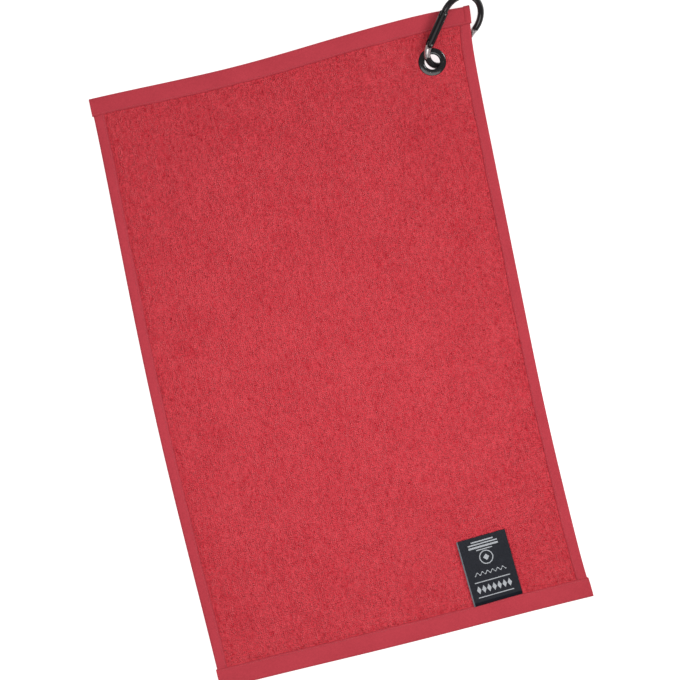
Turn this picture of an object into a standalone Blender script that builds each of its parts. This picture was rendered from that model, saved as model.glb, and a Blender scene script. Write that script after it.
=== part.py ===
"""Golf towel: bound terry cloth, a pressed eyelet in one corner, a spring-gate clip through it, a woven label.

The towel lies face up. +X runs across it, +Y along it towards the eyelet end, +Z up, and the
origin is the centre of its underside. The clip rests on its back bar, which lies under the cloth,
so the cloth rises in the eyelet's corner and the clip leans across the edge of the towel.

Cloth pieces are drawn flat, from the cloth's own cut size, and lay() puts each point in place.
"""

import math

import bmesh
import bpy
from mathutils import Matrix, Vector

MM = 0.001

# Gaps between pieces.
FIT_GAP = 0.3 * MM
TABLE_GAP = 0.3 * MM

# Terry cloth.
TOWEL_WIDTH = 305 * MM
TOWEL_LENGTH = 480 * MM
PILE_THICKNESS = 3.0 * MM
GROUND_THICKNESS = 0.8 * MM
PRESSED_THICKNESS = 1.0 * MM
PILE_STEP = 0.3 * MM
OUT_OF_SQUARE = math.radians(1.0)
FOLD_LINE = 2.0 * MM
FOLD_GAP = 0.3 * MM

# Edge binding and the thread that sews it.
SIDE_BINDING = 10.0 * MM
TOP_BINDING = 14.0 * MM
BOTTOM_BINDING = 15.8 * MM
BINDING_THICKNESS = 2.0 * MM
BINDING_WALL = 0.35 * MM
BINDING_ROUND = 0.5 * MM
BINDING_OVERHANG = 1.0 * MM
SEAM_INSET = 1.5 * MM
SEAM_END = 0.5 * MM
THREAD_WIDTH = 0.5 * MM
THREAD_HEIGHT = 0.35 * MM

# Eyelet: places of its centre on the flat cloth, then its own sizes.
EYELET_FROM_SIDE = 31.1 * MM
EYELET_FROM_END = 38.4 * MM
EYELET_HOLE_RADIUS = 6.0 * MM
EYELET_FLANGE_RADIUS = 11.0 * MM
BARREL_WALL = 0.5 * MM
FLANGE_CROWN = 0.8 * MM
FLANGE_EDGE = 0.25 * MM
CROWN_RUN = 1.6 * MM
WASHER_WALL = 0.25 * MM
ROLL_WIDTH = 1.7 * MM
ROLL_DEPTH = 0.45 * MM

# Clip: a bent rod, D-shaped, wider at its outer end.
ROD_RADIUS = 2.6 * MM
INNER_BEND_RADIUS = 13.0 * MM
OUTER_BEND_RADIUS = 18.0 * MM
BEND_SPACING = 30.6 * MM
CLIP_SETBACK = 1.5 * MM
CLIP_SIDE_OFFSET = 1.6 * MM
CLIP_DIRECTION = math.radians(45)
CLIP_TILT = math.radians(40)

# Gate, its pins, spring and plunger.
GATE_RADIUS = 3.25 * MM
GATE_END_GAP = 0.45 * MM
GATE_CHAMFER = 0.35 * MM
HINGE_FROM_BEND = 1.6 * MM
HINGE_SHOULDER = 3.9 * MM
TONGUE_REACH = 2.2 * MM
TONGUE_THICKNESS = 2.2 * MM
NOSE_REACH = 4.0 * MM
LATCH_INSET = 1.6 * MM
HINGE_PIN_RADIUS = 0.8 * MM
LATCH_PIN_RADIUS = 0.7 * MM
PIN_LENGTH = 6.0 * MM
SLOT_DEPTH_MARGIN = 1.2 * MM
PLUNGER_RADIUS = 1.05 * MM
PLUNGER_LENGTH = 4.0 * MM
SPRING_WIRE_RADIUS = 0.2 * MM
SPRING_LENGTH = 9.6 * MM
SPRING_TURNS = 8

# Woven label, folded at its free end and sewn in at the bottom binding.
LABEL_WIDTH = 40.0 * MM
LABEL_LENGTH = 52.0 * MM
LABEL_LEAF = 0.3 * MM
LABEL_CENTRE_X = 82.0 * MM
LABEL_TILT = math.radians(2.5)
LABEL_CLEARANCE = 0.4 * MM

# Shape of the raised corner.
CLOTH_OVER_CLIP = 1.5 * MM
PLATEAU_BEHIND_EYELET = 18.0 * MM
RAMP_LENGTH = 80.0 * MM
PRESSED_MARGIN = 0.5 * MM
MOUND_RUN = 9.0 * MM

# How finely the cloth is drawn: flat stretches, the ramp, and round the eyelet.
COARSE_STEP = 80.0 * MM
RAMP_STEP = 8.0 * MM
MOUND_STEP = 5.0 * MM

ROUND_SIDES = 48
ROD_SIDES = 16
PIN_SIDES = 16
BEND_STEP = math.radians(9)

# What follows from the sizes above.
SKEW = math.tan(OUT_OF_SQUARE)
HALF_WIDTH = TOWEL_WIDTH / 2
HALF_LENGTH = TOWEL_LENGTH / 2
CLIP_TAPER = math.asin((OUTER_BEND_RADIUS - INNER_BEND_RADIUS) / BEND_SPACING)
CLIP_PITCH = math.atan(math.tan(CLIP_TAPER) * math.sin(CLIP_TILT))
BAR_LENGTH = BEND_SPACING * math.cos(CLIP_TAPER)
INNER_BEND = Vector((INNER_BEND_RADIUS - CLIP_SETBACK, -CLIP_SIDE_OFFSET))
OUTER_BEND = INNER_BEND + Vector((BEND_SPACING, 0))
BAR_OUT = Vector((math.cos(CLIP_TAPER), math.sin(CLIP_TAPER)))
GATE_SIDE = Vector((-math.sin(CLIP_TAPER), math.cos(CLIP_TAPER)))
BACK_SIDE = Vector((-math.sin(CLIP_TAPER), -math.cos(CLIP_TAPER)))
HINGE_POINT = INNER_BEND + GATE_SIDE * INNER_BEND_RADIUS + BAR_OUT * HINGE_FROM_BEND
NOSE_SHOULDER = BAR_LENGTH - HINGE_FROM_BEND
GATE_END = NOSE_SHOULDER - GATE_END_GAP
SLOT_HALF = TONGUE_THICKNESS / 2 + FIT_GAP
SLOT_BOTTOM = TONGUE_REACH + SLOT_DEPTH_MARGIN
PLUNGER_START = TONGUE_REACH + FIT_GAP
SPRING_START = PLUNGER_START + PLUNGER_LENGTH + FIT_GAP + SPRING_WIRE_RADIUS
BORE_END = SPRING_START + SPRING_LENGTH + SPRING_WIRE_RADIUS + FIT_GAP
BORE_RADIUS = PLUNGER_RADIUS + FIT_GAP
CORNER_LIFT = TABLE_GAP + 2 * ROD_RADIUS + CLOTH_OVER_CLIP


def lowest_bar_drop():
    """How far the back bar's centreline lies below the point where the clip crosses the eyelet."""
    bar = INNER_BEND + BACK_SIDE * INNER_BEND_RADIUS
    return -(bar.x * math.sin(CLIP_PITCH) + bar.y * math.sin(CLIP_TILT) * math.cos(CLIP_PITCH))


EYELET_HEIGHT = TABLE_GAP + ROD_RADIUS + lowest_bar_drop()
MOUND_HEIGHT = EYELET_HEIGHT - CORNER_LIFT - PILE_THICKNESS / 2
MOUND_FLAT = EYELET_FLANGE_RADIUS + 2 * PRESSED_MARGIN


def skewed(x, y):
    """Where a point of the flat cut lies, as the cloth is a little out of square."""
    return x + SKEW * y, y + SKEW * x


EYELET_X, EYELET_Y = skewed(HALF_WIDTH - EYELET_FROM_SIDE, HALF_LENGTH - EYELET_FROM_END)


def smooth(t):
    """A smooth step from 0 to 1."""
    t = min(max(t, 0.0), 1.0)
    return t * t * (3 - 2 * t)


def rise(x, y):
    """How far the cloth at (x, y) is lifted off the table by the clip."""
    along = ((x - EYELET_X) + (y - EYELET_Y)) / math.sqrt(2)
    ramp = smooth((along + PLATEAU_BEHIND_EYELET + RAMP_LENGTH) / RAMP_LENGTH)
    away = math.hypot(x - EYELET_X, y - EYELET_Y)
    mound = 1 - smooth((away - MOUND_FLAT) / MOUND_RUN)
    return CORNER_LIFT * ramp + MOUND_HEIGHT * mound


def lay(x, y, z):
    """A point of the flat cloth, at height z over its underside, in its place on the table."""
    x, y = skewed(x, y)
    return Vector((x, y, z + rise(x, y)))


# Materials

def material(name, colour, roughness, metallic=0.0):
    """A Principled material of one colour."""
    made = bpy.data.materials.new(name)
    made.use_nodes = True
    shader = made.node_tree.nodes["Principled BSDF"]
    shader.inputs["Base Color"].default_value = (*colour, 1.0)
    shader.inputs["Roughness"].default_value = roughness
    shader.inputs["Metallic"].default_value = metallic
    made.diffuse_color = (*colour, 1.0)
    return made


def make_materials():
    """The towel's finishes, by name."""
    return {
        "terry": material("terry", (0.56, 0.045, 0.06), 0.95),
        "binding": material("binding", (0.47, 0.05, 0.065), 0.85),
        "thread": material("thread", (0.45, 0.04, 0.055), 0.7),
        "eyelet": material("eyelet", (0.015, 0.015, 0.017), 0.25, 0.9),
        "clip": material("clip", (0.012, 0.012, 0.014), 0.3, 0.6),
        "steel": material("steel", (0.6, 0.58, 0.58), 0.3, 1.0),
        "label": material("label", (0.012, 0.014, 0.022), 0.5),
    }


# Making objects

def add_object(name, mesh, finish, parent=None):
    """Puts a finished bmesh in the scene as one named object."""
    bmesh.ops.recalc_face_normals(mesh, faces=mesh.faces)
    data = bpy.data.meshes.new(name)
    mesh.to_mesh(data)
    mesh.free()
    made = bpy.data.objects.new(name, data)
    bpy.context.scene.collection.objects.link(made)
    if finish is not None:
        data.materials.append(finish)
    data.shade_smooth()
    data.set_sharp_from_angle(angle=math.radians(35))
    made.parent = parent
    return made


def add_frame(name, matrix, parent=None):
    """An empty that carries the pieces of one moving group."""
    frame = bpy.data.objects.new(name, None)
    bpy.context.scene.collection.objects.link(frame)
    frame.parent = parent
    frame.matrix_basis = matrix
    frame.empty_display_size = 5 * MM
    return frame


def cut(target, cutter):
    """Cuts one object out of another with a live Boolean."""
    cutter.hide_render = True
    cutter.display_type = "WIRE"
    tool = target.modifiers.new(cutter.name, "BOOLEAN")
    tool.operation = "DIFFERENCE"
    tool.solver = "EXACT"
    tool.object = cutter


def ring_faces(mesh, loops, closed_path):
    """Joins equal closed loops of vertices with quads, end to end if closed_path."""
    count = len(loops)
    for index in range(count if closed_path else count - 1):
        here, there = loops[index], loops[(index + 1) % count]
        for side in range(len(here)):
            after = (side + 1) % len(here)
            mesh.faces.new((here[side], here[after], there[after], there[side]))


def turned(profile, sides=ROUND_SIDES, to_place=None):
    """A turned solid: a closed profile of (radius, height), or one whose ends lie on the axis."""
    place = to_place or (lambda x, y, z: Vector((x, y, z)))
    mesh = bmesh.new()
    on_axis = profile[0][0] == 0
    rim = profile[1:-1] if on_axis else profile
    loops = []
    for step in range(sides):
        turn = 2 * math.pi * step / sides
        loops.append([
            mesh.verts.new(place(radius * math.cos(turn), radius * math.sin(turn), height))
            for radius, height in rim
        ])
    for step in range(sides):
        here, there = loops[step], loops[(step + 1) % sides]
        for point in range(len(rim) - (1 if on_axis else 0)):
            after = (point + 1) % len(rim)
            mesh.faces.new((here[point], there[point], there[after], here[after]))
    if on_axis:
        for pole, index in ((profile[0], 0), (profile[-1], -1)):
            tip = mesh.verts.new(place(0, 0, pole[1]))
            for step in range(sides):
                mesh.faces.new((loops[step][index], loops[(step + 1) % sides][index], tip))
    return mesh


def along_x(x, y, z):
    """Turns a shape made about Z so that it lies along X."""
    return Vector((z, x, y))


def quarter(start, end, bulge_first, steps):
    """Points on a quarter ellipse from start to end, leaving start along its height if bulge_first."""
    points = []
    for step in range(steps + 1):
        turn = math.pi / 2 * step / steps
        slow, fast = 1 - math.cos(turn), math.sin(turn)
        across, up = (slow, fast) if bulge_first else (fast, slow)
        points.append((start[0] + (end[0] - start[0]) * across, start[1] + (end[1] - start[1]) * up))
    return points


def box(low, high):
    """A box between two corners."""
    mesh = bmesh.new()
    bmesh.ops.create_cube(mesh, size=1)
    size = [b - a for a, b in zip(low, high)]
    middle = [(a + b) / 2 for a, b in zip(low, high)]
    bmesh.ops.scale(mesh, vec=size, verts=mesh.verts)
    bmesh.ops.translate(mesh, vec=middle, verts=mesh.verts)
    return mesh


def rod(radius, low, high, sides=PIN_SIDES, to_place=None):
    """A plain round rod from height low to height high."""
    return turned([(0, low), (radius, low), (radius, high), (0, high)], sides, to_place)


# Cloth, binding and seams

def stations(stops):
    """Positions from the first stop to the last; each stop gives the longest step up to the next."""
    places = []
    for (start, step), (end, _) in zip(stops, stops[1:]):
        count = max(1, math.ceil((end - start) / step))
        places += [start + (end - start) * index / count for index in range(count)]
    return places + [stops[-1][0]]


def cloth_stations(half_size, eyelet, other_inset):
    """Where the whole cloth is divided along one axis, finer where the clip lifts it."""
    ramp_start = eyelet - math.sqrt(2) * (PLATEAU_BEHIND_EYELET + RAMP_LENGTH) - other_inset
    mound_start = eyelet - MOUND_FLAT - MOUND_RUN
    return stations([(-half_size, COARSE_STEP), (ramp_start, RAMP_STEP), (mound_start, MOUND_STEP), (half_size, 0)])


ACROSS = cloth_stations(HALF_WIDTH, EYELET_X, EYELET_FROM_END)
ALONG = cloth_stations(HALF_LENGTH, EYELET_Y, EYELET_FROM_SIDE)


def between(places, low, high):
    """The stations from low to high, with both ends, so that neighbours are divided alike."""
    room = PILE_STEP
    return [low] + [place for place in places if low + room < place < high - room] + [high]


def cloth_solid(xs, ys, is_pile):
    """A closed slab over a grid, full pile where is_pile(x, y) and bare ground weave elsewhere."""
    mesh = bmesh.new()
    middle = PILE_THICKNESS / 2
    top, bottom = {}, {}
    for column, x in enumerate(xs):
        for row, y in enumerate(ys):
            half = (PILE_THICKNESS if is_pile(x, y) else GROUND_THICKNESS) / 2
            top[column, row] = mesh.verts.new(lay(x, y, middle + half))
            bottom[column, row] = mesh.verts.new(lay(x, y, middle - half))
    last_column, last_row = len(xs) - 1, len(ys) - 1
    for column in range(last_column):
        for row in range(last_row):
            corners = ((column, row), (column + 1, row), (column + 1, row + 1), (column, row + 1))
            mesh.faces.new([top[corner] for corner in corners])
            mesh.faces.new([bottom[corner] for corner in reversed(corners)])
    edge = [(column, 0) for column in range(last_column)]
    edge += [(last_column, row) for row in range(last_row)]
    edge += [(column, last_row) for column in range(last_column, 0, -1)]
    edge += [(0, row) for row in range(last_row, 0, -1)]
    for here, there in zip(edge, edge[1:] + edge[:1]):
        mesh.faces.new((top[here], bottom[here], bottom[there], top[there]))
    return mesh


def make_cloth(finishes):
    """The terry cloth, parted at the fold line, with the eyelet's pressed seat cut in it."""
    tongue = BINDING_WALL + FIT_GAP
    side_pile = HALF_WIDTH - SIDE_BINDING - FIT_GAP - PILE_STEP
    top_pile = HALF_LENGTH - TOP_BINDING - FIT_GAP - PILE_STEP
    bottom_pile = BOTTOM_BINDING + FIT_GAP + PILE_STEP - HALF_LENGTH
    tolerance = PILE_STEP / 2

    def is_pile(x, y):
        return abs(x) < side_pile + tolerance and bottom_pile - tolerance < y < top_pile + tolerance

    sides = [side_pile + PILE_STEP, HALF_WIDTH - SIDE_BINDING / 2, HALF_WIDTH - tongue]
    left = [-x for x in reversed(sides)]
    flat_xs = left + [-side_pile, side_pile] + sides
    lower_ys = [tongue - HALF_LENGTH, bottom_pile - PILE_STEP, bottom_pile, FOLD_LINE - FOLD_GAP / 2]
    add_object("terry_cloth_lower", cloth_solid(flat_xs, lower_ys, is_pile), finishes["terry"])

    upper_xs = left + between(ACROSS, -side_pile, side_pile) + sides
    upper_ys = between(ALONG, FOLD_LINE + FOLD_GAP / 2, top_pile)
    upper_ys += [top_pile + PILE_STEP, HALF_LENGTH - TOP_BINDING / 2, HALF_LENGTH - tongue]
    upper = add_object("terry_cloth_upper", cloth_solid(upper_xs, upper_ys, is_pile), finishes["terry"])

    hole = EYELET_HOLE_RADIUS + BARREL_WALL + FIT_GAP
    seat = EYELET_FLANGE_RADIUS + PRESSED_MARGIN
    pressed, reach = PRESSED_THICKNESS / 2, PILE_THICKNESS
    spool = [(0, -reach), (seat, -reach), (seat, -pressed), (hole, -pressed)]
    spool += [(radius, -height) for radius, height in reversed(spool)]
    cutter = add_object("eyelet_seat_cutter", turned(spool), None)
    cutter.location = (EYELET_X, EYELET_Y, EYELET_HEIGHT)
    cut(upper, cutter)


def swept(path_stations, loop_at, cap_pairs):
    """A closed solid through one loop of points per station, capped with quads between its two sides."""
    mesh = bmesh.new()
    loops = [[mesh.verts.new(point) for point in loop_at(station)] for station in path_stations]
    ring_faces(mesh, loops, closed_path=False)
    for loop in (loops[0], loops[-1]):
        for pair in range(cap_pairs):
            opposite = len(loop) - 1 - pair
            mesh.faces.new((loop[pair], loop[pair + 1], loop[opposite - 1], loop[opposite]))
    return mesh


def binding_section(width):
    """The binding's folded section: (distance in from the outer edge, height), outside then inside."""
    half, inner = BINDING_THICKNESS / 2, BINDING_THICKNESS / 2 - BINDING_WALL
    bend = BINDING_ROUND
    outside = [(width, half), (width / 2, half), (bend, half), (0, half - bend)]
    inside = [(width, inner), (width / 2, inner), (bend, inner), (BINDING_WALL, inner - bend / 2)]
    for leaf in (outside, inside):
        leaf += [(depth, -height) for depth, height in reversed(leaf)]
    return outside + inside[::-1]


def thread_section(width):
    """The seam thread's section, on the binding's upper leaf near its inner edge."""
    low = BINDING_THICKNESS / 2 + FIT_GAP
    near, far = width - SEAM_INSET - THREAD_WIDTH, width - SEAM_INSET
    return [(far, low + THREAD_HEIGHT), (near, low + THREAD_HEIGHT), (near, low), (far, low)]


def edge_strip(name, section, places, place, finish):
    """A strip along an edge of the cloth; place(depth, station) gives the flat point."""
    middle = PILE_THICKNESS / 2

    def loop_at(station):
        return [lay(*place(depth, station), middle + height) for depth, height in section]

    add_object(name, swept(places, loop_at, len(section) // 2 - 1), finish)


def make_side_edges(finishes):
    """Binding and seam thread down both long sides, each parted at the fold line."""
    low = BOTTOM_BINDING + FIT_GAP - HALF_LENGTH
    high = HALF_LENGTH - TOP_BINDING - FIT_GAP
    below, above = FOLD_LINE - FOLD_GAP / 2, FOLD_LINE + FOLD_GAP / 2
    for side, sign in (("left", -1), ("right", 1)):
        def place(depth, station, sign=sign):
            return sign * (HALF_WIDTH - depth), station

        for half, start, end in (("lower", low, below), ("upper", above, high)):
            lifted = half == "upper" and side == "right"
            strip = between(ALONG, start, end) if lifted else [start, end]
            edge_strip(f"{side}_binding_{half}", binding_section(SIDE_BINDING), strip, place, finishes["binding"])
            seam_start = start + (SEAM_END if half == "lower" else 0)
            seam_end = end - (SEAM_END if half == "upper" else 0)
            seam = between(ALONG, seam_start, seam_end) if lifted else [seam_start, seam_end]
            edge_strip(f"{side}_seam_thread_{half}", thread_section(SIDE_BINDING), seam, place, finishes["thread"])


def make_end_edges(finishes):
    """Binding and seam thread across both ends, standing out past the sides a little."""
    reach = HALF_WIDTH + BINDING_OVERHANG
    seam = HALF_WIDTH - SEAM_END
    for end, sign, width in (("top", 1, TOP_BINDING), ("bottom", -1, BOTTOM_BINDING)):
        def place(depth, station, sign=sign):
            return station, sign * (HALF_LENGTH - depth)

        divided = ACROSS if end == "top" else []
        strip, run = between(divided, -reach, reach), between(divided, -seam, seam)
        edge_strip(f"{end}_binding", binding_section(width), strip, place, finishes["binding"])
        edge_strip(f"{end}_seam_thread", thread_section(width), run, place, finishes["thread"])


# Eyelet

def make_eyelet(finishes):
    """The eyelet, whose barrel is rolled over a washer under the cloth."""
    hole, barrel = EYELET_HOLE_RADIUS, EYELET_HOLE_RADIUS + BARREL_WALL
    flange = EYELET_FLANGE_RADIUS
    under_flange = PRESSED_THICKNESS / 2 + FIT_GAP
    crown = under_flange + FLANGE_CROWN
    washer_top = -under_flange
    washer_bottom = washer_top - WASHER_WALL
    roll_top = washer_bottom - FIT_GAP
    roll_bottom = roll_top - ROLL_DEPTH
    roll_rim = barrel + ROLL_WIDTH
    profile = quarter((hole, under_flange - FIT_GAP), (hole + CROWN_RUN, crown), True, 5)
    profile += quarter((hole + CROWN_RUN, crown), (flange, under_flange + FLANGE_EDGE), False, 5)[1:]
    profile += [(flange, under_flange), (barrel, under_flange), (barrel, roll_top), (roll_rim, roll_top)]
    profile += quarter((roll_rim, roll_top), (roll_rim - ROLL_WIDTH / 2, roll_bottom), True, 3)[1:]
    profile += quarter((roll_rim - ROLL_WIDTH / 2, roll_bottom), (hole, washer_top), False, 4)[1:]
    eyelet = add_object("eyelet", turned(profile), finishes["eyelet"])
    eyelet.location = (EYELET_X, EYELET_Y, EYELET_HEIGHT)

    inner = barrel + FIT_GAP
    ring = [(inner, washer_top), (flange, washer_top)]
    ring += [(flange - WASHER_WALL, washer_bottom), (inner, washer_bottom)]
    washer = add_object("eyelet_washer", turned(ring), finishes["eyelet"])
    washer.location = (EYELET_X, EYELET_Y, EYELET_HEIGHT)


# Clip

def clip_matrix():
    """The clip's own frame: X out along it, Y across it towards the gate, Z square to its plane."""
    turn = Matrix.Rotation(CLIP_DIRECTION, 4, "Z") @ Matrix.Rotation(-CLIP_PITCH, 4, "Y")
    place = Matrix.Translation((EYELET_X, EYELET_Y, EYELET_HEIGHT))
    return place @ turn @ Matrix.Rotation(CLIP_TILT, 4, "X")


def bend_points(centre, radius, start, end):
    """Points with their headings round a bend, turning clockwise from angle start to angle end."""
    count = math.ceil((start - end) / BEND_STEP)
    found = []
    for step in range(count + 1):
        angle = start + (end - start) * step / count
        outward = Vector((math.cos(angle), math.sin(angle)))
        found.append((centre + outward * radius, outward))
    return found


def body_path():
    """The rod's centreline, from its nose, round the outer bend, down the back bar to the hinge."""
    gate_angle = math.pi / 2 + CLIP_TAPER
    nose = HINGE_POINT + BAR_OUT * (GATE_END - NOSE_REACH)
    path = [(nose, GATE_SIDE)]
    path += bend_points(OUTER_BEND, OUTER_BEND_RADIUS, gate_angle, -gate_angle)
    path += bend_points(INNER_BEND, INNER_BEND_RADIUS, -gate_angle, gate_angle - 2 * math.pi)
    path.append((HINGE_POINT + BAR_OUT * TONGUE_REACH, GATE_SIDE))
    return path


def make_clip_body(finishes, clip, gate):
    """The bent rod, thinned to a tongue at the hinge and a notched nose at the latch."""
    mesh = bmesh.new()
    loops = []
    for centre, outward in body_path():
        loop = []
        for side in range(ROD_SIDES):
            turn = 2 * math.pi * (side + 0.5) / ROD_SIDES
            flat = centre + outward * (ROD_RADIUS * math.cos(turn))
            loop.append(mesh.verts.new((flat.x, flat.y, ROD_RADIUS * math.sin(turn))))
        loops.append(loop)
    ring_faces(mesh, loops, closed_path=False)
    mesh.faces.new(loops[0])
    mesh.faces.new(loops[-1])
    body = add_object("clip_body", mesh, finishes["clip"], clip)

    wide, thick = GATE_RADIUS + MM, TONGUE_THICKNESS / 2
    nose_end = GATE_END - NOSE_REACH
    spans = (("hinge", -HINGE_SHOULDER, TONGUE_REACH + MM), ("nose", nose_end - MM, NOSE_SHOULDER))
    for end, low, high in spans:
        for face, bottom, top in (("over", thick, wide), ("under", -wide, -thick)):
            cheek = add_object(f"{end}_cheek_{face}_cutter", box((low, -wide, bottom), (high, wide, top)), None, gate)
            cut(body, cheek)
    pin_hole = rod(HINGE_PIN_RADIUS + FIT_GAP, -wide, wide)
    cut(body, add_object("tongue_hole_cutter", pin_hole, None, gate))
    cut(body, add_object("nose_notch_cutter", notch_solid(wide), None, gate))


def notch_solid(wide):
    """The latch pin's way in: a slot with a round end, open towards the inside of the clip."""
    radius = LATCH_PIN_RADIUS + FIT_GAP
    middle = GATE_END - LATCH_INSET
    outline = [(middle - radius, -wide), (middle + radius, -wide)]
    half_turns = 8
    for step in range(half_turns + 1):
        turn = math.pi * step / half_turns
        outline.append((middle + radius * math.cos(turn), radius * math.sin(turn)))
    mesh = bmesh.new()
    top = [mesh.verts.new((x, y, wide)) for x, y in outline]
    bottom = [mesh.verts.new((x, y, -wide)) for x, y in outline]
    ring_faces(mesh, [bottom, top], closed_path=False)
    mesh.faces.new(top)
    mesh.faces.new(bottom)
    return mesh


def make_gate(finishes, gate):
    """The gate: a bored round bar with a rounded hinge end, slotted at both ends."""
    dome = [(GATE_RADIUS * math.sin(turn), -GATE_RADIUS * math.cos(turn))
            for turn in (math.pi / 2 * step / 6 for step in range(7))]
    dome[0] = (0, -GATE_RADIUS)
    tip = [(GATE_RADIUS, GATE_END - GATE_CHAMFER), (GATE_RADIUS - GATE_CHAMFER, GATE_END), (0, GATE_END)]
    bar = add_object("clip_gate", turned(dome + tip, 24, along_x), finishes["clip"], gate)

    wide = GATE_RADIUS + MM
    slots = (
        ("hinge_slot_cutter", -wide, SLOT_BOTTOM),
        ("nose_slot_cutter", GATE_END - NOSE_REACH - 2 * FIT_GAP, GATE_END + MM),
    )
    for name, low, high in slots:
        cut(bar, add_object(name, box((low, -wide, -SLOT_HALF), (high, wide, SLOT_HALF)), None, gate))
    bore = rod(BORE_RADIUS, SLOT_BOTTOM - MM, BORE_END, PIN_SIDES, along_x)
    cut(bar, add_object("spring_bore_cutter", bore, None, gate))
    cut(bar, add_object("gate_hinge_hole_cutter", rod(HINGE_PIN_RADIUS + FIT_GAP, -wide, wide), None, gate))
    latch_hole = add_object("gate_latch_hole_cutter", rod(LATCH_PIN_RADIUS + FIT_GAP, -wide, wide), None, gate)
    latch_hole.location = (GATE_END - LATCH_INSET, 0, 0)
    cut(bar, latch_hole)


def make_gate_works(finishes, gate):
    """What the gate holds: hinge pin, latch pin, spring and plunger."""
    half = PIN_LENGTH / 2
    add_object("gate_hinge_pin", rod(HINGE_PIN_RADIUS, -half, half), finishes["steel"], gate)
    latch = add_object("gate_latch_pin", rod(LATCH_PIN_RADIUS, -half, half), finishes["steel"], gate)
    latch.location = (GATE_END - LATCH_INSET, 0, 0)

    end = PLUNGER_START + PLUNGER_LENGTH
    rounding = PLUNGER_RADIUS / 3
    outline = [(0, PLUNGER_START), (PLUNGER_RADIUS - rounding, PLUNGER_START)]
    outline += [(PLUNGER_RADIUS, PLUNGER_START + rounding), (PLUNGER_RADIUS, end), (0, end)]
    add_object("spring_plunger", turned(outline, PIN_SIDES, along_x), finishes["steel"], gate)
    add_object("gate_spring", coil(), finishes["steel"], gate)


def coil():
    """The gate's compression spring, a helix of round wire along X."""
    mesh = bmesh.new()
    radius = PLUNGER_RADIUS - SPRING_WIRE_RADIUS
    per_turn, wire_sides = 12, 6
    count = SPRING_TURNS * per_turn
    slope = math.atan2(SPRING_LENGTH, 2 * math.pi * radius * SPRING_TURNS)
    loops = []
    for step in range(count + 1):
        turn = 2 * math.pi * step / per_turn
        outward = Vector((0, math.cos(turn), math.sin(turn)))
        forward = Vector((math.sin(slope), -math.sin(turn) * math.cos(slope), math.cos(turn) * math.cos(slope)))
        across = forward.cross(outward)
        centre = Vector((SPRING_START + SPRING_LENGTH * step / count, 0, 0)) + outward * radius
        loop = []
        for side in range(wire_sides):
            angle = 2 * math.pi * side / wire_sides
            spoke = outward * math.cos(angle) + across * math.sin(angle)
            loop.append(mesh.verts.new(centre + spoke * SPRING_WIRE_RADIUS))
        loops.append(loop)
    ring_faces(mesh, loops, closed_path=False)
    mesh.faces.new(loops[0])
    mesh.faces.new(loops[-1])
    return mesh


def make_clip(finishes):
    """The clip, on one frame at the eyelet and one at the gate's hinge."""
    clip = add_frame("clip_frame", clip_matrix())
    hinge = Matrix.Translation((HINGE_POINT.x, HINGE_POINT.y, 0)) @ Matrix.Rotation(CLIP_TAPER, 4, "Z")
    gate = add_frame("gate_frame", hinge, clip)
    make_clip_body(finishes, clip, gate)
    make_gate(finishes, gate)
    make_gate_works(finishes, gate)


# Label

def make_label(finishes):
    """The woven label: a ribbon folded at its free end, its origin on the line where it is sewn."""
    outer, inner = 1.5 * LABEL_LEAF, 0.5 * LABEL_LEAF
    fold = LABEL_LENGTH - outer
    turns = [math.pi * step / 4 for step in range(5)]
    section = [(0, outer)] + [(fold + outer * math.sin(turn), outer * math.cos(turn)) for turn in turns]
    section += [(0, -outer), (0, -inner)]
    section += [(fold + inner * math.sin(turn), -inner * math.cos(turn)) for turn in turns]
    section.append((0, inner))
    count = len(section)
    outside, inside = section[:count // 2], section[count // 2:]
    half = LABEL_WIDTH / 2

    def loop_at(x):
        return [Vector((x, y, z)) for y, z in outside + inside]

    mesh = swept([-half, half], loop_at, count // 2 - 1)
    label = add_object("woven_label", mesh, finishes["label"])
    sewn = lay(LABEL_CENTRE_X, BOTTOM_BINDING - HALF_LENGTH, PILE_THICKNESS + LABEL_CLEARANCE + outer)
    label.location = sewn
    label.rotation_euler.z = LABEL_TILT


def main():
    """Clears the scene and makes the towel."""
    for old in list(bpy.data.objects):
        bpy.data.objects.remove(old)
    finishes = make_materials()
    make_cloth(finishes)
    make_side_edges(finishes)
    make_end_edges(finishes)
    make_eyelet(finishes)
    make_clip(finishes)
    make_label(finishes)
    bpy.context.view_layer.update()


main()
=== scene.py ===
"""Looks of the golf towel: terry with looped pile, bound edges, eyelet, spring-gate clip and woven label.

Everything is in metres in the frame's own axes: +X across the towel, +Y along it towards the eyelet
end, +Z up. Cloth pieces are drawn on the flat cut, and ClothShape puts each point in its place.
"""

import logging
import math
from dataclasses import dataclass, field
from enum import Enum

import bmesh
import bpy
import numpy as np
from mathutils import Matrix, Vector


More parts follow.
